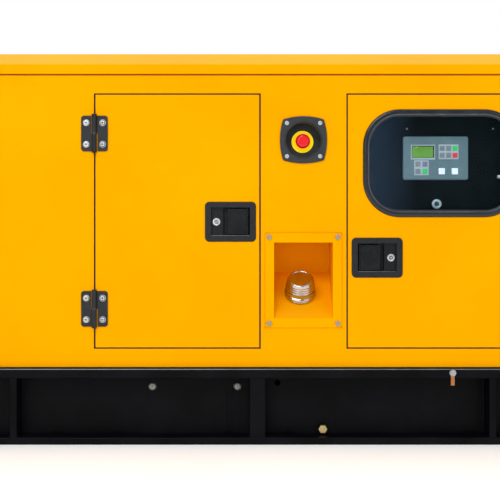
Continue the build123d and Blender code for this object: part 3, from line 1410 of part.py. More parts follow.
# ------------------------------------------------------------------ battery
with BuildPart() as battery:
    battery_floor = deck_top + tube_wall
    y0 = battery_y + battery_margin
    block(battery_x - battery_length / 2, battery_x + battery_length / 2, y0, y0 + battery_width,
          battery_floor, battery_floor + battery_height)
    fillet(battery.edges().filter_by(Axis.Z), battery_round)
    for side in (-1, 1):
        with Locations((battery_x + side * battery_length / 3, y0 + terminal_back, battery_floor + battery_height
                        + terminal_radius)):
            Cylinder(terminal_radius, 2 * terminal_radius)
save(battery.part, "battery")
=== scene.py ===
# %% [markdown]
# # A skid-mounted diesel generating set
# The frame of the set is already made to size: a black steel skid, a yellow sheet-steel canopy with
# three doors, and the engine, generator and controls inside. This lesson gives each surface its
# finish, and adds the small pressed, moulded and turned pieces that a plain solid doesn't show.
# Everything is in metres. X runs along the set, the front faces -Y and Z is up.

# %% Load the frame
import json
from math import pi, radians

import bmesh
import bpy
from mathutils import Matrix, Vector


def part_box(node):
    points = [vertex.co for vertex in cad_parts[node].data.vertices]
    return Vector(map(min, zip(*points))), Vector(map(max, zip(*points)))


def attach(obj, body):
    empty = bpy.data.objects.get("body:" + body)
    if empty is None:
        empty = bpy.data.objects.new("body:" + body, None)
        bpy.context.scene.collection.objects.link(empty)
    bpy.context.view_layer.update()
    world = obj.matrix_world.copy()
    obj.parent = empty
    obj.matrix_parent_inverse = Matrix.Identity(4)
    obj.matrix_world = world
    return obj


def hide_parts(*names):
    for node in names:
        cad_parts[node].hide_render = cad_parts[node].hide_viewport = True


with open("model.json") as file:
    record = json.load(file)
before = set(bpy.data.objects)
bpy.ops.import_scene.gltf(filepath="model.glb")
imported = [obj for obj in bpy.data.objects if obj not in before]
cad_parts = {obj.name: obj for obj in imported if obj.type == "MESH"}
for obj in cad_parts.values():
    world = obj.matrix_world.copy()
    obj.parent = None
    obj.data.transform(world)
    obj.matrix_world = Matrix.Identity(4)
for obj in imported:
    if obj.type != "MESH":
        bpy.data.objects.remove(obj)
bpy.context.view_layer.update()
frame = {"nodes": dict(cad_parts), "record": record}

wall_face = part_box("front_wall")[0].y

# %% [markdown]
# ## Helpers for finishes
# A finish is a Principled shader whose colour, roughness and bump come from noise. The noise reads
# Object coordinates, which are metres on this set, so a grain that is 1 mm wide is 1 mm on every
# piece. A helper that takes the grain's size in metres keeps each finish short to write.

# %% Node helpers
def add_node(tree, kind, **values):
    """One node, with its sockets set by name."""
    made = tree.nodes.new(kind)
    for name, value in values.items():
        made.inputs[name.replace("_", " ")].default_value = value
    return made


def noise(tree, grain, detail):
    """Noise whose lumps are about grain metres wide."""
    coords = add_node(tree, "ShaderNodeTexCoord")
    pattern = add_node(tree, "ShaderNodeTexNoise", Scale=1 / grain, Detail=detail, Roughness=0.55)
    tree.links.new(coords.outputs["Object"], pattern.inputs["Vector"])
    return pattern.outputs["Fac"]


def spread(tree, factor, low, high, start=0.35, end=0.65):
    """A factor turned into a number or a colour between low and high."""
    if isinstance(low, (tuple, list)):
        ramp = add_node(tree, "ShaderNodeValToRGB")
        ramp.color_ramp.elements[0].position = start
        ramp.color_ramp.elements[1].position = end
        ramp.color_ramp.elements[0].color = (*low, 1)
        ramp.color_ramp.elements[1].color = (*high, 1)
        tree.links.new(factor, ramp.inputs["Fac"])
        return ramp.outputs["Color"]
    steps = add_node(tree, "ShaderNodeMapRange", From_Min=start, From_Max=end, To_Min=low, To_Max=high)
    tree.links.new(factor, steps.inputs["Value"])
    return steps.outputs["Result"]


def finish(name, colour, second, rough, metal=0.0, mottle=0.05, grain=0.001, bump=0.1, **more):
    """A finish: two close colours mottled together, a roughness range and a fine surface grain.

    Mottle and grain are the sizes of the patches and of the bumps, in metres."""
    material = bpy.data.materials.new(name)
    material.use_nodes = True
    material.diffuse_color = (*colour, 1)
    tree = material.node_tree
    shader = tree.nodes["Principled BSDF"]
    shader.inputs["Metallic"].default_value = metal
    for socket, value in more.items():
        shader.inputs[socket.replace("_", " ")].default_value = value
    patches = noise(tree, mottle, detail=4.0)
    tree.links.new(spread(tree, patches, colour, second), shader.inputs["Base Color"])
    tree.links.new(spread(tree, patches, rough[0], rough[1]), shader.inputs["Roughness"])
    bumps = add_node(tree, "ShaderNodeBump", Strength=bump, Distance=grain)
    tree.links.new(noise(tree, grain, detail=2.0), bumps.inputs["Height"])
    tree.links.new(bumps.outputs["Normal"], shader.inputs["Normal"])
    return material


def colour_along(material, axis, start, end, first, second, socket="Base Color"):
    """One colour turns into another along an axis of the object, between two places in metres."""
    tree = material.node_tree
    split = add_node(tree, "ShaderNodeSeparateXYZ")
    tree.links.new(add_node(tree, "ShaderNodeTexCoord").outputs["Object"], split.inputs["Vector"])
    place = add_node(tree, "ShaderNodeMapRange", From_Min=start, From_Max=end)
    tree.links.new(split.outputs[axis], place.inputs["Value"])
    tree.links.new(spread(tree, place.outputs["Result"], first, second, 0.0, 1.0),
                   tree.nodes["Principled BSDF"].inputs[socket])


# %% [markdown]
# ## The paints
# The canopy is powder coated: a thick, slightly rippled yellow coat, glossy but never mirror-like.
# Orange peel is a bump about 2 mm wide. The skid and the door hardware are black powder coat,
# which shows dust as a slow change of grey and roughness. A latch's cup is painted darker behind its
# bezel, and its paddle is a darker copy of the coat: both are painted shade in the recess. Thin pale
# edges are painted highlights.

# %% Paints
canopy_yellow = finish("canopy_powder_coat", (0.97, 0.378, 0.0), (0.99, 0.412, 0.0), (0.30, 0.38),
                       mottle=0.35, grain=0.002, bump=0.035, Specular_IOR_Level=0.3,
                       Specular_Tint=(1.0, 0.62, 0.0, 1))
skid_black = finish("skid_paint", (0.0012, 0.0014, 0.0022), (0.0045, 0.005, 0.0068), (0.32, 0.55),
                    mottle=0.12, grain=0.0015, bump=0.12, Specular_IOR_Level=0.07)
hardware_black = finish("hardware_powder_coat", (0.006, 0.0075, 0.0095), (0.014, 0.016, 0.020),
                        (0.28, 0.40), mottle=0.02, grain=0.0007, bump=0.25, Specular_IOR_Level=0.38)
shaded_cup_black = finish("cup_powder_coat", (0.006, 0.0075, 0.0095), (0.014, 0.016, 0.020), (0.26, 0.36),
                   mottle=0.02, grain=0.0007, bump=0.25, Specular_IOR_Level=0.3)
# The cup's inside turns darker than its bezel with depth: painted shade in the recess.
colour_along(shaded_cup_black, "Y", -0.4305, -0.4290, (0.011, 0.013, 0.016), (0.002, 0.0025, 0.003))
# A darker copy of the hardware coat: painted shade on the paddles, which sit back in the cups.
shaded_paddle_black = finish("paddle_powder_coat", (0.003, 0.004, 0.005), (0.006, 0.007, 0.009), (0.20, 0.30),
                      mottle=0.02, grain=0.0007, bump=0.12, Specular_IOR_Level=0.26)
# Pale bars in this finish are painted highlights where light glints on an edge.
painted_highlight_edge = finish("painted_highlight_edge", (0.11, 0.12, 0.13), (0.20, 0.21, 0.22), (0.3, 0.4), metal=0.3,
                   mottle=0.05, grain=0.0005, bump=0.1)
cabinet_black = finish("cabinet_powder_coat", (0.003, 0.0035, 0.0045), (0.007, 0.008, 0.010),
                       (0.35, 0.5), mottle=0.06, grain=0.001, bump=0.15, Specular_IOR_Level=0.06)
engine_green = finish("engine_paint", (0.035, 0.075, 0.085), (0.05, 0.10, 0.11), (0.35, 0.55),
                      mottle=0.03, grain=0.002, bump=0.4)
generator_grey = finish("generator_paint", (0.045, 0.05, 0.055), (0.07, 0.075, 0.08), (0.4, 0.6),
                        mottle=0.05, grain=0.0015, bump=0.3)

# %% [markdown]
# ## Metals
# Bright zinc is a little cloudy, the fuel cap is polished chrome and the drain is turned brass. The
# screws of the filler recess have a yellow passivation, and those of the guard above are grey. The
# earth stud's tag is copper under a steel head. Castings are rougher than turned parts.

# %% Metals
zinc = finish("bright_zinc", (0.62, 0.63, 0.65), (0.78, 0.79, 0.80), (0.18, 0.34), metal=1.0,
              mottle=0.006, grain=0.0006, bump=0.15)
chrome = finish("polished_chrome", (0.50, 0.48, 0.46), (0.58, 0.56, 0.54), (0.05, 0.12), metal=1.0,
                mottle=0.03, grain=0.0006, bump=0.02)
brass = finish("turned_brass", (0.46, 0.36, 0.15), (0.56, 0.46, 0.24), (0.25, 0.4), metal=1.0,
               mottle=0.01, grain=0.0005, bump=0.15)
copper = finish("tinned_copper", (0.55, 0.25, 0.10), (0.6, 0.3, 0.14), (0.25, 0.4), metal=1.0,
                mottle=0.006, grain=0.0005, bump=0.15)
colour_along(copper, "Z", 0.1845, 0.1865, (0.46, 0.19, 0.07), (0.42, 0.44, 0.46))
dull_zinc = finish("yellow_passivated_zinc", (0.33, 0.27, 0.17), (0.46, 0.40, 0.29), (0.38, 0.5),
                   metal=0.9, mottle=0.006, grain=0.0006, bump=0.15)
colour_along(dull_zinc, "Z", 0.70, 0.72, (0.44, 0.37, 0.26), (0.52, 0.55, 0.56))
plug_zinc = finish("plug_zinc", (0.22, 0.225, 0.22), (0.32, 0.32, 0.30), (0.4, 0.55), metal=0.8,
                   mottle=0.004, grain=0.0008, bump=0.3)
washer_zinc = finish("white_zinc", (0.70, 0.72, 0.75), (0.86, 0.88, 0.90), (0.36, 0.5), metal=0.55,
                     mottle=0.006, grain=0.0006, bump=0.1)
# Painted shade for the hollows of screw sockets and keyholes.
socket_shade = finish("socket_painted_shade", (0.05, 0.055, 0.06), (0.09, 0.095, 0.10), (0.4, 0.6), metal=0.4,
                     mottle=0.004, grain=0.0005, bump=0.1)
lock_teal = finish("lock_face", (0.02, 0.13, 0.18), (0.05, 0.22, 0.28), (0.2, 0.3), metal=0.6,
                   mottle=0.006, grain=0.0005, bump=0.1)
cast_aluminium = finish("cast_aluminium", (0.42, 0.43, 0.44), (0.55, 0.56, 0.57), (0.4, 0.6), metal=1.0,
                        mottle=0.02, grain=0.0015, bump=0.5)
shaft_steel = finish("machined_steel", (0.42, 0.42, 0.43), (0.55, 0.55, 0.56), (0.22, 0.4), metal=1.0,
                     mottle=0.02, grain=0.0006, bump=0.2)
exhaust_steel = finish("aluminised_steel", (0.33, 0.31, 0.29), (0.48, 0.45, 0.42), (0.4, 0.6),
                       metal=1.0, mottle=0.08, grain=0.001, bump=0.2)
radiator_black = finish("radiator_paint", (0.012, 0.012, 0.013), (0.025, 0.025, 0.027), (0.45, 0.6),
                        mottle=0.05, grain=0.001, bump=0.2)

# %% [markdown]
# ## Rubber, plastics and glass
# Rubber is matt with a fine grain, and the window's seal is smoother. The roof's gasket is dark orange
# on top, painted shadow under the roof's lip. The stop button is glossy and vivid, and its plastics
# glow a little: painted light against the shade of its cup. Some keys glow too, as painted light. The
# window transmits light, has a weak reflection, and a painted blue reflection glows towards its left end.

# %% Rubber, plastics and glass
seal_rubber = finish("window_rubber", (0.007, 0.010, 0.014), (0.012, 0.016, 0.021), (0.16, 0.24),
                     mottle=0.03, grain=0.0008, bump=0.03, Specular_IOR_Level=0.5)
rubber = finish("black_rubber", (0.010, 0.010, 0.011), (0.018, 0.018, 0.019), (0.42, 0.6), mottle=0.03,
                grain=0.0008, bump=0.2)
gasket_and_roof_shadow = finish("gasket_and_roof_shadow", (0.008, 0.008, 0.009), (0.014, 0.014, 0.015), (0.5, 0.65),
                       mottle=0.05, grain=0.001, bump=0.1)
# Above 0.55 m the gasket turns dark orange: painted shadow under the roof's lip, not the rubber's colour.
colour_along(gasket_and_roof_shadow, "Z", 0.54, 0.56, (0.010, 0.010, 0.011), (0.42, 0.13, 0.0))
foam = finish("acoustic_foam", (0.020, 0.021, 0.023), (0.035, 0.036, 0.038), (0.9, 1.0), mottle=0.01,
              grain=0.004, bump=0.8)
black_plastic = finish("black_moulding", (0.010, 0.0145, 0.0175), (0.016, 0.021, 0.025), (0.35, 0.5),
                       mottle=0.02, grain=0.0006, bump=0.3)
# The stop button's plastics glow a little: painted light that lifts them out of the shade of the guard's
# cup.
yellow_plastic = finish("yellow_moulding", (1.0, 0.76, 0.0), (1.0, 0.80, 0.0), (0.30, 0.40),
                        mottle=0.02, grain=0.0008, bump=0.05, Specular_IOR_Level=0.2,
                        Emission_Color=(1.0, 0.72, 0.0, 1), Emission_Strength=0.6)
red_plastic = finish("red_moulding", (0.75, 0.004, 0.012), (0.82, 0.008, 0.02), (0.10, 0.16),
                     mottle=0.01, grain=0.0008, bump=0.05, Specular_IOR_Level=0.6,
                     Emission_Color=(0.8, 0.004, 0.015, 1), Emission_Strength=0.25)
controller_blue = finish("controller_moulding", (0.17, 0.26, 0.29), (0.20, 0.30, 0.33), (0.4, 0.55),
                         mottle=0.03, grain=0.0006, bump=0.3)
key_grey = finish("grey_key", (0.30, 0.30, 0.34), (0.36, 0.36, 0.40), (0.4, 0.5), mottle=0.01,
                  grain=0.0005, bump=0.2)
key_violet = finish("violet_key", (0.28, 0.24, 0.42), (0.34, 0.30, 0.48), (0.4, 0.5), mottle=0.01,
                    grain=0.0005, bump=0.2)
# The green, red and white keys glow: painted light that lifts them out of the cabinet's shade.
key_green = finish("green_key", (0.05, 0.62, 0.16), (0.07, 0.70, 0.20), (0.4, 0.5), mottle=0.01,
                   grain=0.0005, bump=0.2, Emission_Color=(0.03, 0.55, 0.12, 1), Emission_Strength=0.35)
key_red = finish("red_key", (0.80, 0.03, 0.08), (0.88, 0.05, 0.10), (0.4, 0.5), mottle=0.01,
                 grain=0.0005, bump=0.2, Emission_Color=(0.8, 0.02, 0.08, 1), Emission_Strength=0.3)
key_white = finish("white_key", (0.90, 0.92, 0.94), (0.95, 0.96, 0.97), (0.35, 0.45), mottle=0.01,
                   grain=0.0005, bump=0.2, Emission_Color=(0.9, 0.95, 1.0, 1), Emission_Strength=0.45)
window_glass = finish("window_glass", (0.78, 0.86, 0.90), (0.82, 0.90, 0.94), (0.0, 0.02), mottle=0.3,
                      grain=0.05, bump=0.01, Transmission_Weight=1.0, IOR=1.12, Emission_Strength=1.0)
# A faint blue emission towards the pane's left end: a painted sky reflection.
colour_along(window_glass, "X", 0.305, 0.43, (0.007, 0.014, 0.025), (0.0, 0.0008, 0.001), "Emission Color")

# %% [markdown]
# ## Hand the finishes to the frame's own solids
# A solid whose shape is already right only needs its slots filled. Each name on the left is one of
# the frame's nodes.

# %% Finishes on the frame
looks = {
    canopy_yellow: "front_wall rear_wall left_end_wall right_end_wall roof filler_recess "
                   "front_left_door front_right_door rear_door",
    skid_black: "skid_side_rails skid_cross_beams fuel_tank",
    hardware_black: "hinge_wall_leaves front_left_leaves front_right_leaves rear_leaves rear_cup",
    shaded_cup_black: "front_left_cup front_right_cup",
    shaded_paddle_black: "front_left_paddle front_right_paddle rear_paddle",
    zinc: "front_left_lock front_right_lock rear_lock panel_lock filler_neck",
    dull_zinc: "wall_screws",
    copper: "earth_stud",
    chrome: "fuel_cap",
    brass: "drain_plug",
    gasket_and_roof_shadow: "wall_gaskets",
    rubber: "filler_hose fuel_cap_gasket window_seal drive_belt vibration_mounts",
    window_glass: "window_pane",
    black_plastic: "estop_plate estop_stem breaker breaker_toggle battery cooling_fan",
    yellow_plastic: "estop_ring",
    red_plastic: "estop_head",
    controller_blue: "controller",
    key_grey: "controller_keypad",
    cabinet_black: "control_cabinet",
    engine_green: "engine_block engine_ancillaries",
    generator_grey: "generator_housing",
    cast_aluminium: "charging_alternator cylinder_head",
    radiator_black: "radiator",
    exhaust_steel: "muffler rain_flap",
    shaft_steel: "generator_rotor crank_pulley charging_pulley",
}
for material, names in looks.items():
    for name in names.split():
        for slot in frame["nodes"][name].material_slots:
            slot.material = material
print("finished nodes", sum(len(names.split()) for names in looks.values()))

# %% [markdown]
# ## Helpers for new pieces
# Each new piece is a bmesh that starts from a create operator and is shaped with more operators.
# The helper at the end turns it into an object at the origin, shades it and makes it ride a body.

# %% Mesh helpers
def box_in(bm, low, high, bevel=0.0, segments=2):
    """A box between two corners, its edges rounded."""
    made = bmesh.ops.create_cube(bm, size=1.0)["verts"]
    low, high = Vector(low), Vector(high)
    bmesh.ops.scale(bm, vec=high - low, verts=made)
    bmesh.ops.translate(bm, vec=(low + high) / 2, verts=made)
    if bevel:
        edges = list({edge for vert in made for edge in vert.link_edges})
        bmesh.ops.bevel(bm, geom=edges, offset=bevel, segments=segments, profile=0.5, affect="EDGES",
                        material=-1)


def in_metres(profile):
    """A profile of (radius, height) points in millimetres, turned into metres."""
    return [(radius / 1000, height / 1000) for radius, height in profile]


def band(inner, outer, low, high):
    """The closed profile of a flat ring, in millimetres."""
    return [(inner, low), (outer, low), (outer, high), (inner, high), (inner, low)]


def lathe_in(bm, profile, origin, axis, steps=48):
    """A profile of (radius, height) points spun round an axis through origin."""
    before = set(bm.verts)
    verts = [bm.verts.new((radius, 0, height)) for radius, height in profile]
    edges = [bm.edges.new(pair) for pair in zip(verts, verts[1:])]
    bmesh.ops.spin(bm, geom=verts + edges, cent=(0, 0, 0), axis=(0, 0, 1), angle=2 * pi, steps=steps,
                   use_merge=True)
    fresh = [vert for vert in bm.verts if vert not in before]
    turn = Vector((0, 0, 1)).rotation_difference(Vector(axis)).to_matrix()
    bmesh.ops.rotate(bm, cent=(0, 0, 0), matrix=turn, verts=fresh)
    bmesh.ops.translate(bm, vec=origin, verts=fresh)
    bmesh.ops.remove_doubles(bm, verts=fresh, dist=1e-6)


def piece(name, bm, body, materials, smooth=35, replaces=()):
    """The finished bmesh as an object that rides a body."""
    bmesh.ops.recalc_face_normals(bm, faces=bm.faces)
    mesh = bpy.data.meshes.new(name)
    bm.to_mesh(mesh)
    bm.free()
    made = bpy.data.objects.new(name, mesh)
    bpy.context.scene.collection.objects.link(made)
    for material in materials if isinstance(materials, (list, tuple)) else [materials]:
        mesh.materials.append(material)
    mesh.shade_smooth()
    mesh.set_sharp_from_angle(angle=radians(smooth))
    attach(made, body)
    if replaces:
        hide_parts(*replaces)
    print(name, len(mesh.polygons), "faces")


# %% [markdown]
# ## The fuel cap
# A polished cap with stacked rings stands square to the sloping floor of the filler recess. Rings
# are turned on a lathe, so the cap is a profile of radii and heights, spun round its own axis. The
# axis is that of the joint the cap turns on.

# %% Fuel cap
joints = {joint["name"]: joint for joint in frame["record"]["behaviour"]["joints"]}
cap_joint = joints["fuel_cap_turn"]
cap_profile = [(0, 47.6), (30.6, 47.6), (30.6, 3), (42, 3), (43, 4), (43, 7), (42.2, 8), (43, 9), (43, 13),
               (41.4, 14.4), (40.4, 15), (41.2, 16), (41.2, 17.4), (40, 18.2), (39.6, 30), (40.6, 31),
               (40.6, 32.6), (39.2, 33.6), (38.8, 37), (39.4, 37.8), (39.4, 39), (38.2, 40), (37.6, 43.6),
               (38.2, 44.4), (38.2, 45.6), (37, 46.6), (36.4, 50.4), (36.8, 51.2), (36.6, 52.6), (35.4, 54),
               (35, 56.6), (33.6, 58.8), (31.4, 60), (29.4, 59.6), (28.6, 58.2), (0, 57.6)]
cap_mesh = bmesh.new()
lathe_in(cap_mesh, in_metres(cap_profile), cap_joint["pos_m"], cap_joint["axis"], steps=72)
piece("ringed_fuel_cap", cap_mesh, "cap", chrome, smooth=50, replaces=["fuel_cap"])

# %% [markdown]
# ## The stop button
# A red mushroom head has a domed face with a shallow dish, a rolled rim and a waist to pull it out
# by. It is one turned profile. A black bead frames the guard's mouth.

# %% Stop button
stop_low, stop_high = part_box("estop_head")
stop_x, stop_z = (stop_low.x + stop_high.x) / 2, (stop_low.z + stop_high.z) / 2
head_profile = [(0, 0), (13.6, 0), (14, 4), (15.5, 6), (19, 7.2), (20, 9.2), (19.8, 12), (18.4, 15),
                (15.5, 17.2), (12, 18), (7, 17.6), (0, 17.2)]
head_mesh = bmesh.new()
lathe_in(head_mesh, in_metres(head_profile), (stop_x, stop_high.y, stop_z), (0, -1, 0))
piece("mushroom_head", head_mesh, "estop_button", red_plastic, smooth=60,
      replaces=["estop_head"])
plate_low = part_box("estop_plate")[0]
bead_profile = [(46.5, 0), (49.5, 0), (50.5, 1), (50.2, 2.4), (48.8, 3), (47.2, 2.6), (46.5, 1.2),
                (46.5, 0)]
bead_mesh = bmesh.new()
lathe_in(bead_mesh, in_metres(bead_profile), (stop_x, plate_low.y + 0.0015, stop_z), (0, -1, 0), 72)
piece("guard_bead", bead_mesh, "set", hardware_black, smooth=60)

# %% [markdown]
# ## The window seal
# A thick rubber moulding holds the glass in the door and bulges on both sides. A flat grid gets its
# four corners bevelled into arcs, an inset cuts the moulding's width, an extrude gives its depth,
# and a wide bevel on the rims makes the bulge. A thin pale bead on the inner rim is a painted highlight.


# %% Window seal
def rounded_ring(bm, middle, width, height, radius, moulding, near, far, segments=14):
    """A ring with round corners, upright and facing -Y, between two depths."""
    grid = bmesh.ops.create_grid(bm, x_segments=1, y_segments=1, size=0.5)["verts"]
    bmesh.ops.scale(bm, vec=(width, height, 1), verts=grid)
    bmesh.ops.bevel(bm, geom=grid, offset=radius, segments=segments, profile=0.5, affect="VERTICES",
                    material=-1)
    face = max(bm.faces, key=lambda one: len(one.verts))
    bmesh.ops.inset_region(bm, faces=[face], thickness=moulding, use_boundary=True, use_even_offset=True)
    bmesh.ops.delete(bm, geom=[face], context="FACES_ONLY")
    body = bmesh.ops.extrude_face_region(bm, geom=bm.faces[:])
    lifted = [item for item in body["geom"] if isinstance(item, bmesh.types.BMVert)]
    bmesh.ops.translate(bm, vec=(0, 0, near - far), verts=lifted)
    bmesh.ops.rotate(bm, cent=(0, 0, 0), matrix=Matrix.Rotation(pi / 2, 3, "X"), verts=bm.verts)
    bmesh.ops.translate(bm, vec=(middle[0], near, middle[1]), verts=bm.verts)


seal_low, seal_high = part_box("window_seal")
window_middle = ((seal_low.x + seal_high.x) / 2, (seal_low.z + seal_high.z) / 2)
seal_width, seal_height = seal_high.x - seal_low.x, seal_high.z - seal_low.z
seal_mesh = bmesh.new()
rounded_ring(seal_mesh, window_middle, seal_width, seal_height, radius=0.1, moulding=0.021,
             near=seal_high.y, far=seal_low.y)
rims = [edge for edge in seal_mesh.edges if edge.calc_face_angle(0) > 1.2]
bmesh.ops.bevel(seal_mesh, geom=rims, offset=0.0062, segments=4, profile=0.5, affect="EDGES", material=-1)
piece("bulb_window_seal", seal_mesh, "front_right_door_body", seal_rubber, smooth=60,
      replaces=["window_seal"])

# A pale bead along the seal's inner rim: a painted highlight on its bulge.
bead_mesh = bmesh.new()
rounded_ring(bead_mesh, window_middle, seal_width - 0.026, seal_height - 0.026, radius=0.087,
             moulding=0.0030, near=seal_low.y + 0.0006, far=seal_low.y - 0.0008)
seal_highlight = finish("seal_painted_highlight", (0.045, 0.055, 0.068), (0.07, 0.085, 0.10), (0.2, 0.3),
                    mottle=0.05, grain=0.0008, bump=0.05)
piece("seal_highlight_bead", bead_mesh, "front_right_door_body", seal_highlight, smooth=60)

# %% [markdown]
# ## The controller's face
# A display in a pale frame, six keys beside it, four under it and two square ones. The keys are
# thin boxes with soft edges, each kind in its own finish on one mesh, laid out in millimetres from
# the middle of the face.

# %% Controller face
screen_green = finish("display_glass", (0.16, 0.40, 0.04), (0.20, 0.46, 0.06), (0.08, 0.14),
                      mottle=0.02, grain=0.0006, bump=0.02, Emission_Color=(0.25, 0.55, 0.08, 1),
                      Emission_Strength=0.12)
screen_dark = finish("display_surround", (0.02, 0.03, 0.02), (0.03, 0.04, 0.03), (0.2, 0.3),
                     mottle=0.02, grain=0.0006, bump=0.02)
face_low, face_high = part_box("controller")
face_x, face_z, face_y = (face_low.x + face_high.x) / 2, (face_low.z + face_high.z) / 2, face_low.y
key_frame = finish("key_frame", (0.60, 0.67, 0.69), (0.66, 0.73, 0.75), (0.4, 0.5), mottle=0.01,
                   grain=0.0005, bump=0.2)
key_finishes = [key_grey, key_violet, key_green, key_red, key_white, screen_green, screen_dark, key_frame]
grey, violet, green, red, white, screen, surround, pale = range(len(key_finishes))


def key_box(bm, u, v, width, height, base, top, look, bevel=0.0006):
    """A raised pad on the controller's face, in millimetres from its middle."""
    before = set(bm.faces)
    low = (face_x + (u - width / 2) / 1000, face_y - top / 1000, face_z + (v - height / 2) / 1000)
    high = (face_x + (u + width / 2) / 1000, face_y - base / 1000, face_z + (v + height / 2) / 1000)
    box_in(bm, low, high, bevel)
    for face in set(bm.faces) - before:
        face.material_index = look


key_side, key_rise = 14, 1.2
keys_mesh = bmesh.new()
key_box(keys_mesh, -35.2, 16.4, 67, 41, -0.5, 0.5, pale)
key_box(keys_mesh, -34.8, 17.2, 62, 34, 0, 0.7, surround)
key_box(keys_mesh, -36.0, 16.4, 57, 30, 0.2, 0.8, screen, 0.0002)
key_box(keys_mesh, 35.7, 17.2, 55, 41, -0.5, 0.5, pale)
key_box(keys_mesh, -39.3, -26.9, 40, 41, -0.5, 0.5, pale)
for row in (0, 1):
    for column in (0, 1, 2):
        look = (grey, grey, (green, red)[row])[column]
        key_box(keys_mesh, 17.9 + 17.8 * column, 26.7 - 18.9 * row, key_side, key_side, 0, key_rise, look)
    for column in (0, 1):
        look = (grey, (violet, green)[row])[column]
        key_box(keys_mesh, -49 + 19.4 * column, -16.8 - 20.2 * row, key_side, key_side, 0, key_rise, look)
for u in (16.7, 52.9):
    key_box(keys_mesh, u, -36.4, 17, 17, 0, key_rise, white)
piece("controller_keys", keys_mesh, "set", key_finishes, replaces=["controller_keypad"])

# %% [markdown]
# ## Seals in the door gaps
# Seen from outside, the gap round a door is a black line. A rubber edge trim wraps the door's fold and
# a seal lines the jamb; their black is partly the rubber's own and partly painted shade deep in the
# gap. Both are thin frames of four strips. The door's trim rides the door, the jamb's seal rides the set.


# %% Door gaps
def frame_strips(bm, low, high, thick, y0, y1, inward):
    """Four strips along a rectangle in X and Z, inside or outside its edges."""
    x0, x1, z0, z1 = low[0], high[0], low[1], high[1]
    t = thick
    if not inward:
        x0, x1, z0, z1 = x0 - t, x1 + t, z0 - t, z1 + t
    box_in(bm, (x0, y0, z0), (x0 + t, y1, z1))
    box_in(bm, (x1 - t, y0, z0), (x1, y1, z1))
    box_in(bm, (x0 + t, y0, z0), (x1 - t, y1, z0 + t))
    box_in(bm, (x0 + t, y0, z1 - t), (x1 - t, y1, z1))


door_gap = 0.004
doors = {"front_left": -1, "front_right": -1, "rear": 1}  # the way each door faces along Y
for door, outward in doors.items():
    low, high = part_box(f"{door}_door")
    outer = low.y if outward < 0 else high.y
    trim = sorted((outer - outward * 0.003, outer - outward * 0.0248))  # the strips' two ends in Y
    trim_mesh = bmesh.new()
    frame_strips(trim_mesh, (low.x, low.z), (high.x, high.z), 0.0008, *trim, inward=False)
    piece(f"{door}_edge_trim", trim_mesh, f"{door}_door_body", rubber)
    jamb_mesh = bmesh.new()
    jamb = sorted((outer - outward * 0.0022, outer - outward * 0.0278))
    opening = (low.x - door_gap, low.z - door_gap), (high.x + door_gap, high.z + door_gap)
    frame_strips(jamb_mesh, *opening, 0.0012, *jamb, inward=True)
    # The wide black lip at the back of the jamb is partly the rubber seal and partly painted shade deep in
    # the gap.
    lip = sorted((outer - outward * 0.0255, outer - outward * 0.0282))
    frame_strips(jamb_mesh, *opening, 0.014, *lip, inward=True)
    piece(f"{door}_jamb_seal", jamb_mesh, "set", rubber)

# %% [markdown]
# ## Screws, washers and plugs
# Bright screw heads stand on white washers. A head is one turned profile with a round edge and a
# hollow for the key, and the same maker serves the hinges, the guard and the skid's plugs. The hollows
# and the locks' keyholes are dark with painted shade. A screw on a door rides that door.


# %% Screws and plugs
def screw_in(bm, at, axis, washer, head, height, socket):
    """A washer and a button head with a socket, turned about an axis. Sizes are in millimetres."""
    before = set(bm.faces)
    profile = [(0, 0), (washer, 0), (washer, 0.7), (washer - 0.5, 1.2), (head, 1.2), (head, 0.55 * height),
               (0.86 * head, 0.86 * height), (0.62 * head, height), (socket, height),
               (socket, 0.5 * height), (0, 0.45 * height)]
    lathe_in(bm, in_metres(profile), at, axis, steps=24)
    # Faces inside the socket take the second finish, painted shade in the hollow.
    for face in set(bm.faces) - before:
        out = face.calc_center_median() - Vector(at)
        away = out - out.project(Vector(axis))
        in_socket = away.length < socket / 1000 and out.dot(Vector(axis)) > 0.4 * height / 1000
        face.material_index = 1 if in_socket else 0


screw_looks = [washer_zinc, socket_shade]
hinge_z = (0.365, 0.838)
wall_half_depth = 0.430
hinge_rows = {"front_left": (-0.440, 1, -1), "front_right": (0.755, -1, -1), "rear": (-0.440, 1, 1)}
for door, (line, toward, outward) in hinge_rows.items():
    face = outward * wall_half_depth
    for body, side in ((f"{door}_door_body", 1), ("set", -1)):
        heads = bmesh.new()
        for z in hinge_z:
            for dz in (-0.029, 0.029):
                at = (line + side * toward * 0.022, face + outward * 0.003, z + dz)
                screw_in(heads, at, (0, outward, 0), washer=8.8, head=6.6, height=4.6, socket=3.0)
        kind = "door" if side > 0 else "wall"
        piece(f"{door}_{kind}_hinge_screws", heads, body, screw_looks, smooth=40)

plug_mesh = bmesh.new()
web_y = -0.379
for x in (-0.288, -0.054):
    screw_in(plug_mesh, (x, web_y, 0.150), (0, -1, 0), washer=11.6, head=11.2, height=9.6, socket=1.3)
piece("tank_plug_heads", plug_mesh, "set", [plug_zinc, socket_shade], smooth=40)

panel_mesh = bmesh.new()
for x in (0.415, 0.654):
    screw_in(panel_mesh, (x, -0.350, 0.860), (0, -1, 0), washer=2.4, head=1.9, height=2.2, socket=0.8)
box_in(panel_mesh, (0.664, -0.364, 0.722), (0.678, -0.3502, 0.731), 0.002)
piece("panel_screws_and_catch", panel_mesh, "set", screw_looks, smooth=40)

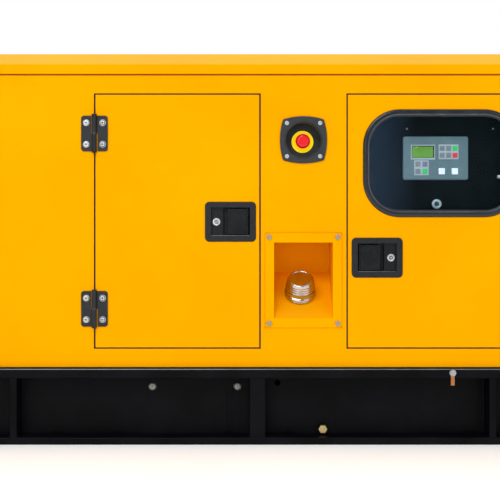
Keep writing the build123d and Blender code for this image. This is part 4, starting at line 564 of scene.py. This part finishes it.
slot_half = (0.0005, 0.0004, 0.0022)
for door, outward in doors.items():
    lock_low, lock_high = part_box(f"{door}_lock")
    key_x, _, key_z = joints[f"{door}_key_turn"]["pos_m"]
    lock_at = Vector((key_x, lock_high.y if outward > 0 else lock_low.y, key_z))
    # The keyhole's ring and slot are painted dark: painted shade in the hole.
    key_mesh = bmesh.new()
    lathe_in(key_mesh, in_metres(band(3.0, 5.2, -0.4, 0.3)), lock_at, (0, outward, 0), steps=32)
    box_in(key_mesh, lock_at - Vector(slot_half), lock_at + Vector(slot_half))
    piece(f"{door}_key_slot", key_mesh, f"{door}_lock_body", socket_shade, smooth=40)

lock_low, lock_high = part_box("panel_lock")
lock_middle = ((lock_low.x + lock_high.x) / 2, lock_low.y, lock_high.z - 0.0135)
lock_mesh = bmesh.new()
ring_profile = [(7.2, -0.5), (7.2, 1.2), (8.5, 2.0), (11.5, 1.6), (13.3, 0.4), (13.3, -0.6), (7.2, -0.5)]
disc_profile = [(0, -0.4), (7.0, -0.4), (6.8, 0.8), (0, 0.8)]
lathe_in(lock_mesh, in_metres(ring_profile), lock_middle, (0, -1, 0))
ring_faces = len(lock_mesh.faces)
lathe_in(lock_mesh, in_metres(disc_profile), lock_middle, (0, -1, 0))
lock_mesh.faces.ensure_lookup_table()
for face in lock_mesh.faces[ring_faces:]:
    face.material_index = 1
piece("panel_lock_ring", lock_mesh, "set", [washer_zinc, lock_teal], smooth=50)

# %% [markdown]
# ## Welds and ribs on the skid
# A fabricated skid shows its welds. Each upright gets a bead at its foot and head, and two thin ribs
# stiffen the web beside the middle upright.


# %% Welds and ribs
def hose_in(bm, points, radius, sides=16):
    """A round bar from point to point, with a ball at each corner."""
    points = [Vector(point) for point in points]
    for start, end in zip(points, points[1:]):
        turn = (end - start).to_track_quat("Z", "Y").to_matrix().to_4x4()
        bmesh.ops.create_cone(bm, cap_ends=True, segments=sides, radius1=radius, radius2=radius,
                              depth=(end - start).length,
                              matrix=Matrix.Translation((start + end) / 2) @ turn)
    for point in points[1:-1]:
        bmesh.ops.create_uvsphere(bm, u_segments=sides, v_segments=sides // 2, radius=radius,
                                  matrix=Matrix.Translation(point))


weld_mesh = bmesh.new()
front_y = -0.443
upright_foot, upright_head = 0.022, 0.176
for x, half in ((-0.657, 0.010), (0.0, 0.0215), (0.633, 0.010)):
    for z in (0.021, 0.177):
        hose_in(weld_mesh, [(x - half, front_y + 0.0015, z), (x + half, front_y + 0.0015, z)], 0.0016, 8)
    for side in (-1, 1):
        corner = (x + side * (half + 0.001), web_y + 0.0005)
        hose_in(weld_mesh, [(*corner, upright_foot), (*corner, upright_head)], 0.0022, 8)
for x in (-0.083, -0.071):
    box_in(weld_mesh, (x - 0.0012, web_y - 0.003, 0.021), (x + 0.0012, web_y, 0.177))
piece("skid_welds", weld_mesh, "set", skid_black, smooth=40)

# %% [markdown]
# ## Edges and seams
# Thin pale bars on the skid's upper edge and inside the lower lips of the latches are painted
# highlights. A washer parts the two knuckles of each hinge, its pale finish a painted highlight, and a
# darker orange frame round the filler recess is a painted shadow line at the edge of its screwed flange.

# %% Edges and seams
# A washer between the knuckles; its pale finish is a painted highlight along the split.
for door in doors:
    axis_x, axis_y, _ = joints[f"{door}_door_swing"]["pos_m"]
    washer_mesh = bmesh.new()
    for z in hinge_z:
        lathe_in(washer_mesh, in_metres(band(5.2, 6.9, -0.6, 0.6)), (axis_x, axis_y, z), (0, 0, 1),
                 steps=32)
    piece(f"{door}_hinge_washers", washer_mesh, "set", painted_highlight_edge, smooth=40)
# A pale bar along the skid's upper edge: a painted highlight.
rail_low, rail_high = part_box("skid_side_rails")
edge_inset, end_inset = 0.001, 0.003
edge_at = (rail_low.y + edge_inset, rail_high.z - edge_inset)
edge_mesh = bmesh.new()
hose_in(edge_mesh, [(rail_low.x + end_inset, *edge_at), (rail_high.x - end_inset, *edge_at)], 0.0013, 8)
piece("skid_edge_highlight", edge_mesh, "set", painted_highlight_edge, smooth=40)
# Pale bars just inside the latches' lower lips: painted highlights.
lip_behind, lip_above, lip_inset, lip_radius = 0.0025, 0.0165, 0.017, 0.0009
for door in ("front_left", "front_right"):
    cup_low, cup_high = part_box(f"{door}_cup")
    lip_mesh = bmesh.new()
    lip_at = (cup_low.y + lip_behind, cup_low.z + lip_above)
    hose_in(lip_mesh, [(cup_low.x + lip_inset, *lip_at), (cup_high.x - lip_inset, *lip_at)], lip_radius, 8)
    piece(f"{door}_cup_lip_highlight", lip_mesh, f"{door}_door_body", painted_highlight_edge, smooth=40)
# A darker orange frame round the recess: a painted shadow line at the edge of its flange.
flange_mesh = bmesh.new()
flange_low, flange_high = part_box("filler_recess")
flange_shadow_line = (wall_face - 0.0022, wall_face - 0.0001)
frame_strips(flange_mesh, (flange_low.x, flange_low.z), (flange_high.x, flange_high.z), 0.0012,
             *flange_shadow_line, inward=False)
flange_shadow = finish("flange_shadow_line", (0.70, 0.24, 0.0), (0.76, 0.28, 0.0), (0.5, 0.6), mottle=0.05,
                       grain=0.001, bump=0.1, Specular_IOR_Level=0.1)
piece("recess_flange_shadow_line", flange_mesh, "set", flange_shadow)

# %% [markdown]
# ## Acoustic lining
# Foam boards line the doors and the roof. They are seen when a door is open. The board on the
# window's door stops under the window.

# %% Acoustic lining
foam_edge = 0.004
foam_outer, foam_inner = 0.4275, 0.4125
foam_foot, foam_head = 0.275, 0.930
latch_foot, latch_head = 0.552, 0.648
for door in ("front_left", "rear"):
    board = bmesh.new()
    y0, y1 = sorted((doors[door] * foam_outer, doors[door] * foam_inner))
    box_in(board, (-0.425, y0, foam_foot), (-0.135, y1, foam_head), foam_edge)
    box_in(board, (-0.130, y0, foam_foot), (-0.014, y1, latch_foot), foam_edge)
    box_in(board, (-0.130, y0, latch_head), (-0.014, y1, foam_head), foam_edge)
    piece(f"{door}_lining", board, f"{door}_door_body", foam)
board = bmesh.new()
box_in(board, (0.400, -foam_outer, foam_foot), (0.738, -foam_inner, 0.598), foam_edge)
box_in(board, (0.258, -foam_outer, foam_foot), (0.390, -foam_inner, 0.440), foam_edge)
piece("front_right_lining", board, "front_right_door_body", foam)
board = bmesh.new()
box_in(board, (-0.780, -0.395, 1.036), (0.955, 0.395, 1.054), foam_edge)
piece("roof_lining", board, "set", foam)

# %% [markdown]
# ## The radiator's core
# Flat tubes with gaps between them make the core. They stand in the shallow recess on both faces.

# %% Radiator core
core_mesh = bmesh.new()
tube_pitch, tube_count, tube_half = 0.012, 44, 0.0028
core_foot, core_head = 0.352, 0.838
for x0, x1 in ((-0.7785, -0.771), (-0.729, -0.7215)):
    for index in range(tube_count):
        y = (index - (tube_count - 1) / 2) * tube_pitch
        box_in(core_mesh, (x0, y - tube_half, core_foot), (x1, y + tube_half, core_head))
piece("radiator_core", core_mesh, "set", cast_aluminium)

# %% [markdown]
# ## Hoses, cables and engine fittings
# Two coolant hoses, an air hose, the battery's leads and the load cables run as round bars with a
# ball at each corner. The rocker cover gets its nuts and an oil filler.

# %% Hoses and fittings
upper_hose = [(-0.725, 0.12, 0.872), (-0.64, 0.12, 0.885), (-0.60, 0.08, 0.83), (-0.60, 0.08, 0.735)]
lower_hose = [(-0.725, -0.20, 0.322), (-0.64, -0.20, 0.322), (-0.585, -0.17, 0.40), (-0.585, -0.135, 0.43)]
air_hose = [(-0.20, -0.23, 0.74), (-0.20, -0.19, 0.735)]
hose_mesh = bmesh.new()
hose_in(hose_mesh, upper_hose, radius=0.019)
hose_in(hose_mesh, lower_hose, radius=0.021)
hose_in(hose_mesh, air_hose, radius=0.03)
piece("coolant_and_air_hoses", hose_mesh, "set", rubber, smooth=50)
load_cable = [(0.40, -0.235, 0.72), (0.34, -0.17, 0.74), (0.28, -0.10, 0.74), (0.28, -0.10, 0.715)]


def battery_lead(x):
    """The route from a terminal of the battery to the engine, at one place along the set."""
    return [(x, -0.333, 0.410), (x, -0.300, 0.420), (x, -0.230, 0.330), (x, -0.105, 0.320)]


cable_mesh = bmesh.new()
hose_in(cable_mesh, battery_lead(-0.362), radius=0.007, sides=12)
hose_in(cable_mesh, load_cable, radius=0.012, sides=12)
piece("cables", cable_mesh, "set", black_plastic, smooth=50)
lead_mesh = bmesh.new()
hose_in(lead_mesh, battery_lead(-0.208), radius=0.007, sides=12)
piece("positive_lead", lead_mesh, "set", red_plastic, smooth=50)
fitting_mesh = bmesh.new()
for x in (-0.55, -0.38, -0.21):
    for y in (-0.045, 0.045):
        screw_in(fitting_mesh, (x, y, 0.8345), (0, 0, 1), washer=10, head=7, height=8, socket=2.5)
oil_cap_profile = [(0, 0), (26, 0), (26, 16), (23, 20), (0, 20)]
lathe_in(fitting_mesh, in_metres(oil_cap_profile), (-0.47, 0, 0.8335), (0, 0, 1), steps=32)
piece("rocker_cover_fittings", fitting_mesh, "set", zinc, smooth=40)

# %% [markdown]
# ## Camera, floor and light
# A long lens, level and square to the front, takes in most of the set but not its ends. Large soft
# panels stand in front, above and behind, and a pale room fills the shadows. The camera sees the
# room as white.

# %% Camera
camera_data = bpy.data.cameras.new("camera")
camera_data.sensor_width = 36
camera_data.lens = 77.33
camera_distance = 2.9
camera = bpy.data.objects.new("camera", camera_data)
bpy.context.scene.collection.objects.link(camera)
camera.location = (-0.0203, wall_face - camera_distance, 0.5238)
camera.rotation_euler = (radians(90), 0, 0)
bpy.context.scene.camera = camera

# %% Floor
floor_mesh = bmesh.new()
bmesh.ops.create_grid(floor_mesh, x_segments=1, y_segments=1, size=30)
floor_data = bpy.data.meshes.new("floor")
floor_mesh.to_mesh(floor_data)
floor_mesh.free()
floor = bpy.data.objects.new("floor", floor_data)
bpy.context.scene.collection.objects.link(floor)
floor_paint = finish("pale_floor", (0.86, 0.86, 0.86), (0.88, 0.88, 0.88), (0.6, 0.7), mottle=1.5,
                     grain=0.01, bump=0.02, Emission_Color=(1, 1, 1, 1), Emission_Strength=0.3)
floor_data.materials.append(floor_paint)


# %% Lights
def soft_light(name, place, target, size, power):
    """A rectangular light that looks at a point."""
    data = bpy.data.lights.new(name, "AREA")
    data.shape, data.size, data.size_y, data.energy = "RECTANGLE", size[0], size[1], power
    light = bpy.data.objects.new(name, data)
    light.location = place
    light.rotation_euler = (Vector(target) - Vector(place)).to_track_quat("-Z", "Y").to_euler()
    bpy.context.scene.collection.objects.link(light)


soft_light("key", (-1.5, -5.0, 4.2), (0, 0, 0.6), (4, 2.0), 140)
soft_light("front", (-1.6, -6.5, 1.6), (0, 0, 0.5), (1.8, 2.0), 22)
soft_light("fill", (3.5, -5.0, 2.2), (0, 0, 0.5), (3, 3), 30)
soft_light("top", (0, 0.3, 4.5), (0, 0, 0.8), (5, 3), 90)
soft_light("back", (0, 5.5, 3.5), (0, 0, 0.6), (5, 3), 110)
world = bpy.data.worlds.new("room")
world.use_nodes = True
room = world.node_tree
walls = room.nodes["Background"]
walls.inputs["Color"].default_value = (1, 1, 1, 1)
walls.inputs["Strength"].default_value = 0.42
backdrop = add_node(room, "ShaderNodeBackground", Color=(1, 1, 1, 1), Strength=1.0)
pick = add_node(room, "ShaderNodeMixShader")
room.links.new(add_node(room, "ShaderNodeLightPath").outputs["Is Camera Ray"], pick.inputs["Fac"])
room.links.new(walls.outputs["Background"], pick.inputs[1])
room.links.new(backdrop.outputs["Background"], pick.inputs[2])
room.links.new(pick.outputs["Shader"], room.nodes["World Output"].inputs["Surface"])
bpy.context.scene.world = world
bpy.context.scene.view_settings.view_transform = "Standard"
